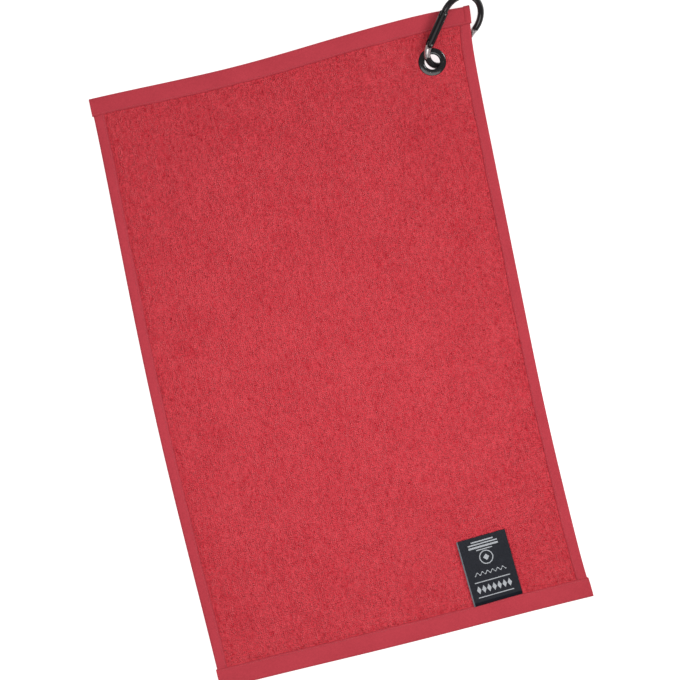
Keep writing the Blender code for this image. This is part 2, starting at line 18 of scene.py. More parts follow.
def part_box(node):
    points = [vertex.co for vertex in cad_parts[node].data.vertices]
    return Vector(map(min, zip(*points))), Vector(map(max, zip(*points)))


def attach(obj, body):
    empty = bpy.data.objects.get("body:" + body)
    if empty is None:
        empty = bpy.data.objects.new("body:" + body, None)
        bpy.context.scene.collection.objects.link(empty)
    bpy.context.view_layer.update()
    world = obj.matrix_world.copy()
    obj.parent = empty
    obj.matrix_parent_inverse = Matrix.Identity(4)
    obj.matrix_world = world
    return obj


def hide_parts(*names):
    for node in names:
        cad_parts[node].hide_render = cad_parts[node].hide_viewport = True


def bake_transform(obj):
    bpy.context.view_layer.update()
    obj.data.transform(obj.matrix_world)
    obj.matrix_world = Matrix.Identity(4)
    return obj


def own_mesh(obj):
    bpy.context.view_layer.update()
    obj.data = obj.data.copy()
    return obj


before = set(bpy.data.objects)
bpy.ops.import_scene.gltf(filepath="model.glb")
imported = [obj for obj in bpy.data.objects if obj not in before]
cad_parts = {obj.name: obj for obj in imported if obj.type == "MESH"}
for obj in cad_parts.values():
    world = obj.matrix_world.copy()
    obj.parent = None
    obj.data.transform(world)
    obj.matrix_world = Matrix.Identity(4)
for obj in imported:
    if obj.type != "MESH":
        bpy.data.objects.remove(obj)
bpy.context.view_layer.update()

logging.basicConfig(level=logging.INFO, format="%(message)s")
log = logging.getLogger("golf_towel")

MM = 0.001
Colour = tuple[float, float, float]


class Body(Enum):
    """The frame's moving bodies."""

    LOWER = "lower_half"
    UPPER = "upper_half"
    CLIP = "clip"
    GATE = "gate"
    PLUNGER = "plunger"
    LABEL = "label"


class Slot(Enum):
    """The record's material slots."""

    TERRY = "terry"
    BINDING = "binding"
    THREAD = "thread"
    EYELET = "eyelet"
    CLIP = "clip"
    STEEL = "steel"
    LABEL = "label"


class Side(Enum):
    """Which edge of the cloth a binding covers."""

    LEFT = "left"
    RIGHT = "right"
    TOP = "top"
    BOTTOM = "bottom"

    @property
    def is_end(self) -> bool:
        """True for the two short edges."""
        return self in (Side.TOP, Side.BOTTOM)

    @property
    def sign(self) -> int:
        """Which way the edge lies from the middle of the cloth."""
        return 1 if self in (Side.RIGHT, Side.TOP) else -1


# Shader maths

class Value:
    """A shader socket that takes part in ordinary arithmetic, each step adding a Math node."""

    def __init__(self, shader: "Shader", socket: bpy.types.NodeSocket) -> None:
        """Wraps a socket of a shader."""
        self.shader = shader
        self.socket = socket

    def _math(self, operation: str, *values: object) -> "Value":
        """Adds one Math node.

        Args:
            operation: the Math node's operation.
            values: its inputs in order, numbers or Values.

        Returns:
            The node's result.
        """
        inputs = dict(enumerate(values))
        node = self.shader.node("ShaderNodeMath", {"operation": operation}, inputs)
        return Value(self.shader, node.outputs[0])

    def __add__(self, other: object) -> "Value":
        """The sum."""
        return self._math("ADD", self, other)

    __radd__ = __add__

    def __sub__(self, other: object) -> "Value":
        """The difference."""
        return self._math("SUBTRACT", self, other)

    def __rsub__(self, other: object) -> "Value":
        """A number less this value."""
        return self._math("SUBTRACT", other, self)

    def __mul__(self, other: object) -> "Value":
        """The product."""
        return self._math("MULTIPLY", self, other)

    __rmul__ = __mul__

    def __truediv__(self, other: object) -> "Value":
        """The quotient."""
        return self._math("DIVIDE", self, other)

    def __abs__(self) -> "Value":
        """The size without its sign."""
        return self._math("ABSOLUTE", self)

    def __lt__(self, other: object) -> "Value":
        """1 where this is less than the other, else 0."""
        return self._math("LESS_THAN", self, other)

    def __gt__(self, other: object) -> "Value":
        """1 where this is more than the other, else 0."""
        return self._math("GREATER_THAN", self, other)

    def __or__(self, other: object) -> "Value":
        """The larger of two masks."""
        return self._math("MAXIMUM", self, other)

    def __and__(self, other: object) -> "Value":
        """The smaller of two masks."""
        return self._math("MINIMUM", self, other)

    def sine(self) -> "Value":
        """The sine."""
        return self._math("SINE", self)

    def root(self) -> "Value":
        """The square root."""
        return self._math("SQRT", self)

    def wrapped(self, period: float) -> "Value":
        """The distance to the nearest of a row of places, a period apart."""
        return self._math("PINGPONG", self, period / 2)

    def step(self, low: float, high: float) -> "Value":
        """A smooth step.

        Args:
            low: where it leaves 0.
            high: where it reaches 1; less than low for a step that falls.

        Returns:
            The stepped value.
        """
        ends = (low, high, 0.0, 1.0) if high > low else (high, low, 1.0, 0.0)
        inputs = {"Value": self, **dict(zip(("From Min", "From Max", "To Min", "To Max"), ends))}
        node = self.shader.node("ShaderNodeMapRange", {"interpolation_type": "SMOOTHSTEP"}, inputs)
        return Value(self.shader, node.outputs[0])


class Shader:
    """One material and its node tree."""

    def __init__(self, name: str) -> None:
        """Makes an empty material with a Principled shader."""
        self.material = bpy.data.materials.new(name)
        self.material.use_nodes = True
        self.tree = self.material.node_tree
        self.surface = self.tree.nodes["Principled BSDF"]

    def node(self, kind: str, settings: dict[str, object], inputs: dict[object, object]) -> bpy.types.Node:
        """Adds a node.

        Args:
            kind: the node's type.
            settings: its properties, which are set first.
            inputs: values, Values or sockets for its inputs, by name or number.

        Returns:
            The node.
        """
        made = self.tree.nodes.new(kind)
        for name, value in settings.items():
            setattr(made, name, value)
        for key, value in inputs.items():
            self.feed(made.inputs[key], value)
        return made

    def feed(self, socket: bpy.types.NodeSocket, value: object) -> None:
        """Links or sets one input."""
        if isinstance(value, Value):
            value = value.socket
        if isinstance(value, bpy.types.NodeSocket):
            self.tree.links.new(value, socket)
        else:
            socket.default_value = value

    def set(self, **inputs: object) -> None:
        """Sets inputs of the Principled shader, written with underscores for spaces."""
        for name, value in inputs.items():
            self.feed(self.surface.inputs[name.replace("_", " ")], value)

    def place(self, scale: tuple[float, float, float] = (1, 1, 1)) -> bpy.types.NodeSocket:
        """Object coordinates, scaled along each axis."""
        coordinates = self.node("ShaderNodeTexCoord", {}, {}).outputs["Object"]
        return self.node("ShaderNodeMapping", {}, {"Vector": coordinates, "Scale": scale}).outputs[0]

    def map(self, name: str) -> tuple[Value, Value]:
        """The two coordinates of a UV map, in metres."""
        uv = self.node("ShaderNodeUVMap", {"uv_map": name}, {}).outputs[0]
        parts = self.node("ShaderNodeSeparateXYZ", {}, {0: uv})
        return Value(self, parts.outputs[0]), Value(self, parts.outputs[1])

    def attribute(self, name: str) -> Value:
        """A number stored on the mesh."""
        return Value(self, self.node("ShaderNodeAttribute", {"attribute_name": name}, {}).outputs["Fac"])

    def noise(
        self, scale: float, stretch: tuple[float, float, float] = (1, 1, 1), detail: float = 3
    ) -> Value:
        """Noise over Object coordinates.

        Args:
            scale: how many features there are to a metre.
            stretch: a further factor along each axis.
            detail: how many finer layers it has.

        Returns:
            The noise, about 0.5 in the middle.
        """
        inputs = {"Vector": self.place(stretch), "Scale": scale, "Detail": detail}
        return Value(self, self.node("ShaderNodeTexNoise", {}, inputs).outputs["Fac"])

    def distance(self, point: Vector) -> Value:
        """How far the surface is from a point."""
        inputs = {0: self.place(), 1: tuple(point)}
        node = self.node("ShaderNodeVectorMath", {"operation": "DISTANCE"}, inputs)
        return Value(self, node.outputs["Value"])

    def mixed(self, share: object, first: object, second: object) -> bpy.types.NodeSocket:
        """One colour turning into another.

        Args:
            share: 0 for the first colour, 1 for the second.
            first: a colour or a colour socket.
            second: a colour or a colour socket.

        Returns:
            The mixed colour.
        """
        node = self.node("ShaderNodeMix", {"data_type": "RGBA"}, {"Factor": share})
        for key, colour in ((6, first), (7, second)):
            self.feed(node.inputs[key], (*colour, 1.0) if isinstance(colour, tuple) else colour)
        return node.outputs[2]

    def bump(self, height: Value, strength: float, depth: float) -> None:
        """Raises the surface by a height from 0 to 1, depth metres deep."""
        inputs = {"Height": height, "Strength": strength, "Distance": depth}
        self.set(Normal=self.node("ShaderNodeBump", {}, inputs).outputs[0])


# Finishes

@dataclass(frozen=True)
class TerryFinish:
    """Cotton pile: loops painted darker at their roots and lighter at their tips, and painted dark in scattered
    pits, as painted shade down in the pile, with soft clouds and streaks of tone.
    """

    root: Colour = (0.455, 0.013, 0.026)
    tip: Colour = (0.725, 0.084, 0.105)
    tip_share: float = 0.35
    shade_share: float = 0.55
    cloud_share: float = 0.35
    streak_share: float = 0.85
    pit_shade: float = 0.34
    cloud_scale: float = 24
    streak_scale: float = 620
    pit_scale: float = 560
    fuzz_scale: float = 2600
    fuzz_depth: float = 0.25 * MM
    sheen: Colour = (1.0, 0.55, 0.6)

    def material(self) -> bpy.types.Material:
        """Makes the material."""
        shader = Shader("terry_pile")
        # painted shade: each loop is painted darker towards its root and lighter at its tip
        tone = self.tip_share * shader.attribute("tip") + self.shade_share * shader.attribute("shade")
        cloud = shader.noise(self.cloud_scale, detail=4) - 0.5
        streak = shader.noise(self.streak_scale, (1.0, 0.34, 0.3), 2) - 0.5
        # painted shade: scattered dark pits in the pile's colour
        pit = shader.noise(self.pit_scale, (1.0, 0.75, 0.3), 1).step(0.4, 0.28)
        tone = tone + self.cloud_share * cloud + self.streak_share * streak - self.pit_shade * pit
        shader.set(Base_Color=shader.mixed(tone.step(-0.15, 1.15), self.root, self.tip), Roughness=0.92)
        shader.set(
            Sheen_Weight=0.25, Sheen_Roughness=0.5, Sheen_Tint=(*self.sheen, 1.0), Specular_IOR_Level=0.2
        )
        shader.bump(shader.noise(self.fuzz_scale, detail=2), 0.35, self.fuzz_depth)
        return shader.material


@dataclass(frozen=True)
class TapeFinish:
    """Plain-woven binding tape: duller and pinker than the pile, with fine crossing threads."""

    dark: Colour = (0.33, 0.021, 0.034)
    light: Colour = (0.60, 0.057, 0.080)
    pitch: float = 0.55 * MM
    weave_share: float = 0.16
    slub_share: float = 0.5
    slub_scale: float = 900
    wear: float = 0.35
    wear_scale: float = 30
    shadow: float = 0.45
    shadow_width: float = 1.1 * MM
    thread_depth: float = 0.12 * MM
    sheen: Colour = (1.0, 0.7, 0.72)

    def material(self) -> bpy.types.Material:
        """Makes the material."""
        shader = Shader("woven_tape")
        along, across = shader.map("tape")
        turn = 2 * math.pi / self.pitch
        weave = (along * turn).sine() * (across * turn).sine()
        slub = shader.noise(self.slub_scale) - 0.5
        blotches = shader.noise(self.wear_scale) - 0.5
        tone = 0.5 + self.weave_share * weave + self.slub_share * slub + self.wear * blotches
        ragged = across + (shader.noise(420, detail=2) - 0.5) * (1.6 * MM)
        tone = tone - self.shadow * ragged.step(self.shadow_width, 0.2 * MM)
        shader.set(Base_Color=shader.mixed(tone.step(-0.2, 1.2), self.dark, self.light), Roughness=0.82)
        shader.set(
            Sheen_Weight=0.2, Sheen_Roughness=0.4, Sheen_Tint=(*self.sheen, 1.0), Specular_IOR_Level=0.25
        )
        shader.bump(0.5 + 0.35 * weave + 0.3 * slub, 0.5, self.thread_depth)
        return shader.material


@dataclass(frozen=True)
class ThreadFinish:
    """Twisted sewing thread, toned to the tape."""

    dark: Colour = (0.34, 0.026, 0.040)
    light: Colour = (0.56, 0.060, 0.078)
    twist_scale: float = 3000

    def material(self) -> bpy.types.Material:
        """Makes the material."""
        shader = Shader("sewing_thread")
        twist = shader.noise(self.twist_scale, detail=1)
        shader.set(Base_Color=shader.mixed(twist.step(0.3, 0.7), self.dark, self.light), Roughness=0.6)
        shader.set(Sheen_Weight=0.2, Specular_IOR_Level=0.3)
        shader.bump(twist, 0.4, 0.1 * MM)
        return shader.material


@dataclass(frozen=True)
class BlackMetalFinish:
    """Glossy black enamel, scuffed to bare metal in random specks, with bare metal round some given points."""

    name: str
    enamel: Colour = (0.010, 0.008, 0.009)
    blotches: tuple[tuple[Vector, float], ...] = ()
    metal: Colour = (0.52, 0.47, 0.47)
    roughness: float = 0.2
    gloss: float = 0.32
    coat: float = 0.12
    scuff_scale: float = 900
    smear_scale: float = 160

    def material(self) -> bpy.types.Material:
        """Makes the material."""
        shader = Shader(self.name)
        scuff = shader.noise(self.scuff_scale, detail=4)
        smear = shader.noise(self.smear_scale)
        bare = (scuff * smear).step(0.42, 0.46)
        # bare metal round each given point
        for centre, reach in self.blotches:
            away = shader.distance(centre) + (smear - 0.5) * reach + (scuff - 0.5) * (reach * 0.5)
            bare = bare | away.step(reach, reach * 0.86)
        shader.set(Base_Color=shader.mixed(bare, self.enamel, self.metal), Metallic=bare * 0.85)
        shader.set(Roughness=self.roughness + 0.16 * (smear - 0.5) + 0.12 * bare)
        shader.set(Specular_IOR_Level=self.gloss, Coat_Weight=self.coat * (1 - bare), Coat_Roughness=0.15)
        shader.bump(scuff, 0.12, 0.05 * MM)
        return shader.material


@dataclass(frozen=True)
class SteelFinish:
    """Drawn steel wire and pins."""

    dark: Colour = (0.36, 0.35, 0.35)
    light: Colour = (0.62, 0.60, 0.59)
    drawn_scale: float = 2000

    def material(self) -> bpy.types.Material:
        """Makes the material."""
        shader = Shader("drawn_steel")
        drawn = shader.noise(self.drawn_scale, (1.0, 0.2, 1.0), 2)
        shader.set(Base_Color=shader.mixed(drawn, self.dark, self.light), Metallic=1.0)
        shader.set(Roughness=0.28 + 0.15 * drawn)
        return shader.material


@dataclass(frozen=True)
class FloorFinish:
    """The plain pale table."""

    light: Colour = (0.50, 0.50, 0.50)
    dark: Colour = (0.48, 0.48, 0.48)
    glow: float = 0.8

    def material(self) -> bpy.types.Material:
        """Makes the material."""
        shader = Shader("pale_table")
        shader.set(Base_Color=shader.mixed(shader.noise(3), self.light, self.dark), Roughness=0.9)
        shader.set(Emission_Color=(1.0, 1.0, 1.0, 1.0), Emission_Strength=self.glow)
        return shader.material


@dataclass(frozen=True)
class SatinFinish:
    """Black satin label with a plain woven ornament of bars, a ring round a diamond, and ripples."""

    width: float
    length: float
    ground: Colour = (0.004, 0.005, 0.009)
    lit: Colour = (0.012, 0.014, 0.022)
    mark: Colour = (0.50, 0.52, 0.55)
    edge: Colour = (0.16, 0.17, 0.19)
    rib: float = 0.42 * MM
    soft: float = 0.12 * MM
    selvedge: float = 1.05 * MM
    bars: tuple[tuple[float, float, float], ...] = (
        (0.925, 0.5 * MM, 9.0 * MM), (0.885, 0.5 * MM, 12.0 * MM), (0.84, 0.75 * MM, 12.0 * MM),
        (0.795, 0.4 * MM, 6.5 * MM), (0.315, 0.35 * MM, 14.5 * MM), (0.085, 0.35 * MM, 14.5 * MM),
    )
    ring_at: float = 0.665
    ring_radius: float = 5.2 * MM
    ripple_at: float = 0.44
    ripple_period: float = 4.2 * MM
    ripple_height: float = 1.1 * MM
    row_at: float = 0.2
    lozenge_period: float = 4.2 * MM
    lozenge_half: float = 1.75 * MM
    lozenge_slope: float = 0.55

    def ornament(self, across: Value, along: Value) -> Value:
        """Where the light threads lie.

        Args:
            across: distance from the label's left edge.
            along: distance from its sewn end.

        Returns:
            A mask, 1 on the light threads.
        """
        centre, soft = self.width / 2, self.soft
        middle = abs(across - centre)

        def band(value: Value, at: float, half: float) -> Value:
            """A stripe of a value, with soft edges."""
            return abs(value - at).step(half + soft, half - soft)

        beyond = abs(along - self.ring_at * self.length)
        marks = band((middle * middle + beyond * beyond).root(), self.ring_radius, 0.38 * MM)
        marks = marks | (middle + beyond).step(2.7 * MM, 2.4 * MM)
        for share, half_height, half_length in self.bars:
            ends = middle.step(half_length + soft, half_length - soft)
            marks = marks | (band(along, share * self.length, half_height) & ends)

        wave = (across * (2 * math.pi / self.ripple_period)).sine() * self.ripple_height
        ripple = abs(along - self.ripple_at * self.length - wave).step(0.5 * MM, 0.28 * MM)
        marks = marks | (ripple & middle.step(13.0 * MM, 12.8 * MM))

        level = abs(along - self.row_at * self.length)
        row = level.step(3.4 * MM, 3.2 * MM) & middle.step(14.8 * MM, 14.6 * MM)
        lozenge = (across - centre).wrapped(self.lozenge_period) + level * self.lozenge_slope
        return marks | (row & lozenge.step(self.lozenge_half + 0.1 * MM, self.lozenge_half - 0.1 * MM))

    def material(self) -> bpy.types.Material:
        """Makes the material."""
        shader = Shader("label_satin")
        across, along = shader.map("label")
        ribs = (along * (2 * math.pi / self.rib)).sine() * 0.5 + 0.5
        twill = ((along + across) * (2 * math.pi / (0.9 * self.rib))).sine() * 0.5 + 0.5
        cloud = shader.noise(260)
        tone = 0.35 * ribs + 0.25 * twill + 0.5 * cloud
        ground = shader.mixed(tone.step(0.2, 1.0), self.ground, self.lit)
        selvedge = across.step(self.selvedge + 0.1 * MM, self.selvedge - 0.1 * MM)
        ground = shader.mixed(selvedge * 0.8, ground, self.edge)
        marks = self.ornament(across, along) * (0.62 + 0.38 * ribs)
        shader.set(Base_Color=shader.mixed(marks, ground, self.mark), Roughness=0.52 - 0.14 * twill)
        shader.set(Specular_IOR_Level=0.14)
        shader.bump(0.5 * ribs + 0.3 * twill + 0.2 * cloud, 0.45, 0.08 * MM)
        return shader.material


# Making objects

def add_object(name: str, mesh: bpy.types.Mesh, finish: bpy.types.Material | None = None) -> bpy.types.Object:
    """Puts a mesh in the scene as one object.

    Args:
        name: the piece's name.
        mesh: its mesh, already in place.
        finish: its material.

    Returns:
        The object.
    """
    mesh.name = name
    made = bpy.data.objects.new(name, mesh)
    bpy.context.scene.collection.objects.link(made)
    if finish is not None:
        mesh.materials.clear()
        mesh.materials.append(finish)
    return made


def mesh_of(points: np.ndarray, faces: np.ndarray | list, smooth_angle: float | None = 40) -> bpy.types.Mesh:
    """A mesh from points and faces.

    Args:
        points: one row of x, y, z to a point.
        faces: point numbers of each face.
        smooth_angle: edges sharper than this many degrees stay sharp.

    Returns:
        The mesh, shaded smooth.
    """
    mesh = bpy.data.meshes.new("made")
    mesh.from_pydata(np.asarray(points).tolist(), [], [list(map(int, face)) for face in faces])
    mesh.update()
    mesh.shade_smooth()
    if smooth_angle is not None:
        mesh.set_sharp_from_angle(angle=math.radians(smooth_angle))
    return mesh


def face_outwards(mesh: bpy.types.Mesh) -> None:
    """Turns every face of a closed mesh outwards."""
    work = bmesh.new()
    work.from_mesh(mesh)
    bmesh.ops.recalc_face_normals(work, faces=work.faces)
    work.to_mesh(mesh)
    work.free()


def plain(source: bpy.types.Object, name: str) -> bpy.types.Object:
    """Replaces an object by its evaluated mesh, with every modifier carried out.

    Args:
        source: the object with live modifiers.
        name: the finished piece's name.

    Returns:
        The finished piece.
    """
    bpy.context.view_layer.update()
    graph = bpy.context.evaluated_depsgraph_get()
    evaluated = source.evaluated_get(graph)
    mesh = bpy.data.meshes.new_from_object(evaluated, preserve_all_data_layers=True, depsgraph=graph)
    mesh.transform(source.matrix_world)
    bpy.data.objects.remove(source)
    return add_object(name, mesh)


def store_map(mesh: bpy.types.Mesh, name: str, values: np.ndarray) -> None:
    """Stores a UV map given per point.

    Args:
        mesh: the mesh.
        name: the map's name.
        values: one row of u, v to a point.
    """
    corner_points = np.empty(len(mesh.loops), dtype=np.int32)
    mesh.loops.foreach_get("vertex_index", corner_points)
    layer = mesh.uv_layers.new(name=name)
    layer.data.foreach_set("uv", np.asarray(values, dtype=np.float32)[corner_points].ravel())


def finished(
    piece: bpy.types.Object, body: Body, replaced: tuple[str, ...] = ()
) -> bpy.types.Object:
    """Makes a piece ride on a body and stand for CAD nodes.

    Args:
        piece: the finished piece.
        body: what it moves with.
        replaced: the nodes it stands for.

    Returns:
        The piece.
    """
    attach(piece, body.value)
    if replaced:
        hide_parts(*replaced)
    log.info("%s on %s, %d faces", piece.name, body.value, len(piece.data.polygons))
    return piece


# Geometry Nodes

class Rule:
    """A Geometry Nodes tree with named inputs."""

    def __init__(self, name: str, values: dict[str, float]) -> None:
        """Makes the tree.

        Args:
            name: the tree's name.
            values: each input's value, by name.
        """
        self.tree = bpy.data.node_groups.new(name, "GeometryNodeTree")
        self.values = values
        sockets = self.tree.interface
        sockets.new_socket("Geometry", in_out="INPUT", socket_type="NodeSocketGeometry")
        self.sockets = {
            key: sockets.new_socket(key, in_out="INPUT", socket_type="NodeSocketFloat") for key in values
        }
        sockets.new_socket("Geometry", in_out="OUTPUT", socket_type="NodeSocketGeometry")
        self.source = self.tree.nodes.new("NodeGroupInput")
        self.result = self.tree.nodes.new("NodeGroupOutput")

    def given(self, name: str = "Geometry") -> bpy.types.NodeSocket:
        """The socket of a named input."""
        return self.source.outputs[name]

    def node(self, kind: str, settings: dict[str, object], inputs: dict[object, object]) -> bpy.types.Node:
        """Adds a node.

        Args:
            kind: the node's type.
            settings: its properties, which are set first.
            inputs: values or sockets for its inputs, by name or number.

        Returns:
            The node.
        """
        made = self.tree.nodes.new(kind)
        for name, value in settings.items():
            setattr(made, name, value)
        for key, value in inputs.items():
            self.feed(made.inputs[key], value)
        return made

    def feed(self, socket: bpy.types.NodeSocket, value: object) -> None:
        """Links or sets one input."""
        if isinstance(value, bpy.types.NodeSocket):
            self.tree.links.new(value, socket)
        else:
            socket.default_value = value

    def maths(self, operation: str, first: object, second: object) -> bpy.types.NodeSocket:
        """A sum on numbers or sockets."""
        return self.node("ShaderNodeMath", {"operation": operation}, {0: first, 1: second}).outputs[0]

    def vector(self, x: object, y: object, z: object) -> bpy.types.NodeSocket:
        """A vector from its parts."""
        return self.node("ShaderNodeCombineXYZ", {}, {0: x, 1: y, 2: z}).outputs[0]

    def chance(self, low: object, high: object, seed: int) -> bpy.types.NodeSocket:
        """A number drawn between two limits, with a fixed seed."""
        made = self.node("FunctionNodeRandomValue", {"data_type": "FLOAT"}, {"Seed": seed})
        for key, value in (("Min", low), ("Max", high)):
            self.feed(next(s for s in made.inputs if s.name == key and s.type == "VALUE"), value)
        return next(s for s in made.outputs if s.type == "VALUE")

    def named(self, name: str) -> bpy.types.NodeSocket:
        """A number stored on the geometry."""
        made = self.node("GeometryNodeInputNamedAttribute", {"data_type": "FLOAT"}, {"Name": name})
        return next(s for s in made.outputs if s.name == "Attribute" and s.enabled)

    def tube(
        self, path: bpy.types.NodeSocket, radius: object, sides: int, is_capped: bool = True
    ) -> bpy.types.NodeSocket:
        """A round tube along a curve.

        Args:
            path: the curve.
            radius: the tube's radius.
            sides: how many sides it has.
            is_capped: whether its ends are closed.

        Returns:
            The tube.
        """
        inputs = {"Resolution": sides, "Radius": radius}
        ring = self.node("GeometryNodeCurvePrimitiveCircle", {"mode": "RADIUS"}, inputs).outputs[0]
        inputs = {"Curve": path, "Profile Curve": ring, "Fill Caps": is_capped}
        return self.node("GeometryNodeCurveToMesh", {}, inputs).outputs[0]

    def stored(
        self, geometry: bpy.types.NodeSocket, name: str, value: object, domain: str
    ) -> bpy.types.NodeSocket:
        """Stores a number on the geometry.

        Args:
            geometry: what it is stored on.
            name: the attribute's name.
            value: its value.
            domain: POINT or INSTANCE.

        Returns:
            The geometry with the attribute.
        """
        settings = {"data_type": "FLOAT", "domain": domain}
        inputs = {"Geometry": geometry, "Name": name, "Value": value}
        return self.node("GeometryNodeStoreNamedAttribute", settings, inputs).outputs[0]

    def close(self, geometry: bpy.types.NodeSocket, finish: bpy.types.Material) -> None:
        """Ends the tree with real geometry in one material."""
        real = self.node("GeometryNodeRealizeInstances", {}, {"Geometry": geometry}).outputs[0]
        smooth = self.node("GeometryNodeSetShadeSmooth", {}, {"Geometry": real}).outputs[0]
        done = self.node("GeometryNodeSetMaterial", {}, {"Geometry": smooth, "Material": finish}).outputs[0]
        self.tree.links.new(done, self.result.inputs[0])

    def grow(self, mesh: bpy.types.Mesh, name: str) -> bpy.types.Object:
        """Runs the tree on a mesh.

        Args:
            mesh: what the tree starts from.
            name: the finished piece's name.

        Returns:
            The finished piece, a plain mesh.
        """
        source = add_object(name + "_rule", mesh)
        modifier = source.modifiers.new("rule", "NODES")
        modifier.node_group = self.tree
        for key, value in self.values.items():
            modifier[self.sockets[key].identifier] = value
        return plain(source, name)


# Cloth

def smooth(share: np.ndarray) -> np.ndarray:
    """A smooth step from 0 to 1."""
    share = np.clip(share, 0.0, 1.0)
    return share * share * (3 - 2 * share)


def wobble(along: np.ndarray, seed: int, length: float) -> np.ndarray:
    """A soft irregular wave, about -1 to 1.

    Args:
        along: distance along the edge.
        seed: picks one of many waves.
        length: the longest wave in it.

    Returns:
        The wave at each distance.
    """
    draw = np.random.default_rng(seed)
    total = np.zeros_like(along, dtype=float)
    for share, weight in ((1.0, 0.45), (0.53, 0.3), (0.29, 0.2), (0.13, 0.12)):
        total += weight * np.sin(2 * math.pi * along / (length * share) + draw.uniform(0, 2 * math.pi))
    return total


def patches(x: np.ndarray, y: np.ndarray, width: float, length: float, seed: int) -> np.ndarray:
    """Soft patches of chance from 0 to 1.

    Args:
        x: places across the cloth.
        y: places along it.
        width: a patch's size across.
        length: its size along.
        seed: picks one of many patterns.

    Returns:
        The value at each place.
    """
    lattice = np.random.default_rng(seed).uniform(0, 1, (600, 600))
    across, along = x / width + 250, y / length + 250
    column, row = np.floor(across).astype(int), np.floor(along).astype(int)
    right, up = smooth(across - column), smooth(along - row)
    low = lattice[column, row] * (1 - right) + lattice[column + 1, row] * right
    high = lattice[column, row + 1] * (1 - right) + lattice[column + 1, row + 1] * right
    return low * (1 - up) + high * up


@dataclass(frozen=True)
class EdgeLine:
    """How one edge of the cloth wanders from its straight line."""

    middle: float = 0.0
    bow: float = 0.0
    slope: float = 0.0
    wave: float = 0.0
    wave_length: float = 1.0
    crest: float = 0.0
    flare: float = 0.0
    foot: float = 0.0
    flare_reach: float = 22 * MM
    bow_power: float = 2.2

    def offset(self, along: np.ndarray, half: float) -> np.ndarray:
        """How far the edge lies off its line.

        Args:
            along: distance along the edge from its middle.
            half: half the edge's length.

        Returns:
            The offset, along +X for a long edge and +Y for a short one.
        """
        share = along / half
        line = self.middle + self.bow * np.abs(share) ** self.bow_power + self.slope * share
        line = line + self.wave * np.cos(2 * math.pi * (along - self.crest) / self.wave_length)
        line = line + self.flare * np.exp(-(((half - along) / self.flare_reach) ** 2))
        return line + self.foot * np.exp(-(((half + along) / self.flare_reach) ** 2))


@dataclass(frozen=True)
class ClothShape:
    """The flat cut and how it lies: out of square, its edges wandering, one corner lifted by the clip.

    The label's place is here too, because it is sewn to the cloth, lays the pile over and casts a painted shadow
    on it.
    """

    half_width: float = 152.5 * MM
    half_length: float = 240 * MM
    thickness: float = 3.0 * MM
    out_of_square: float = math.tan(math.radians(1.0))
    side_tape: float = 8.8 * MM
    top_tape: float = 14.3 * MM
    bottom_tape: float = 15.6 * MM
    eyelet_from_side: float = 31.1 * MM
    eyelet_from_end: float = 38.4 * MM
    corner_lift: float = 7.0 * MM
    mound_height: float = 2.6277 * MM
    mound_flat: float = 12.0 * MM
    mound_run: float = 9.0 * MM
    plateau: float = 18.0 * MM
    ramp: float = 80.0 * MM
    eyelet_height: float = 11.1277 * MM
    fold_at: float = 2.0 * MM
    fold_half: float = 8.0 * MM
    label_origin: tuple[float, float] = (78.087 * MM, -222.769 * MM)
    label_size: tuple[float, float] = (40.0 * MM, 52.0 * MM)
    label_tilt: float = math.radians(2.5)
    edges: dict[Side, EdgeLine] = field(default_factory=lambda: {
        Side.LEFT: EdgeLine(0.45 * MM, 1.05 * MM, -1.28 * MM, 1.87 * MM, 520 * MM, 247 * MM, -0.23 * MM),
        Side.RIGHT: EdgeLine(-0.81 * MM, 3.98 * MM, 1.64 * MM, 0.51 * MM, 290 * MM, 55 * MM, 1.8 * MM, 1.3 * MM),
        Side.TOP: EdgeLine(-1.03 * MM, 0.27 * MM, -0.32 * MM, 1.49 * MM, 270 * MM, 101 * MM, -1.6 * MM),
        Side.BOTTOM: EdgeLine(-0.67 * MM, 0.09 * MM, -0.8 * MM, 0.35 * MM, 240 * MM, 116 * MM),
    })

    @property
    def eyelet(self) -> Vector:
        """The eyelet's centre."""
        x, y = self.half_width - self.eyelet_from_side, self.half_length - self.eyelet_from_end
        return Vector((x + self.out_of_square * y, y + self.out_of_square * x, self.eyelet_height))

    def rise(self, x: np.ndarray, y: np.ndarray) -> np.ndarray:
        """How far the clip lifts the cloth off the table."""
        centre = self.eyelet
        along = ((x - centre.x) + (y - centre.y)) / math.sqrt(2)
        ramp = smooth((along + self.plateau + self.ramp) / self.ramp)
        away = np.hypot(x - centre.x, y - centre.y)
        mound = 1 - smooth((away - self.mound_flat) / self.mound_run)
        return self.corner_lift * ramp + self.mound_height * mound

    def place(self, points: np.ndarray) -> np.ndarray:
        """Puts points of the flat cut in place.

        Args:
            points: rows of x, y and height over the cloth's underside.

        Returns:
            The same points where they lie on the table.
        """
        x, y, z = np.asarray(points, dtype=float).T
        wide, long = self.half_width, self.half_length
        right, top = (x / wide + 1) / 2, (y / long + 1) / 2
        edge = self.edges
        across = edge[Side.LEFT].offset(y, long) * (1 - right) + edge[Side.RIGHT].offset(y, long) * right
        upward = edge[Side.BOTTOM].offset(x, wide) * (1 - top) + edge[Side.TOP].offset(x, wide) * top
        x, y = x + across, y + upward
        x, y = x + self.out_of_square * y, y + self.out_of_square * x
        return np.column_stack((x, y, z + self.rise(x, y)))

    def blend(self, piece: bpy.types.Object) -> None:
        """Bakes a piece's place into its mesh, for the pieces that lie over the fold between the two halves."""
        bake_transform(piece)


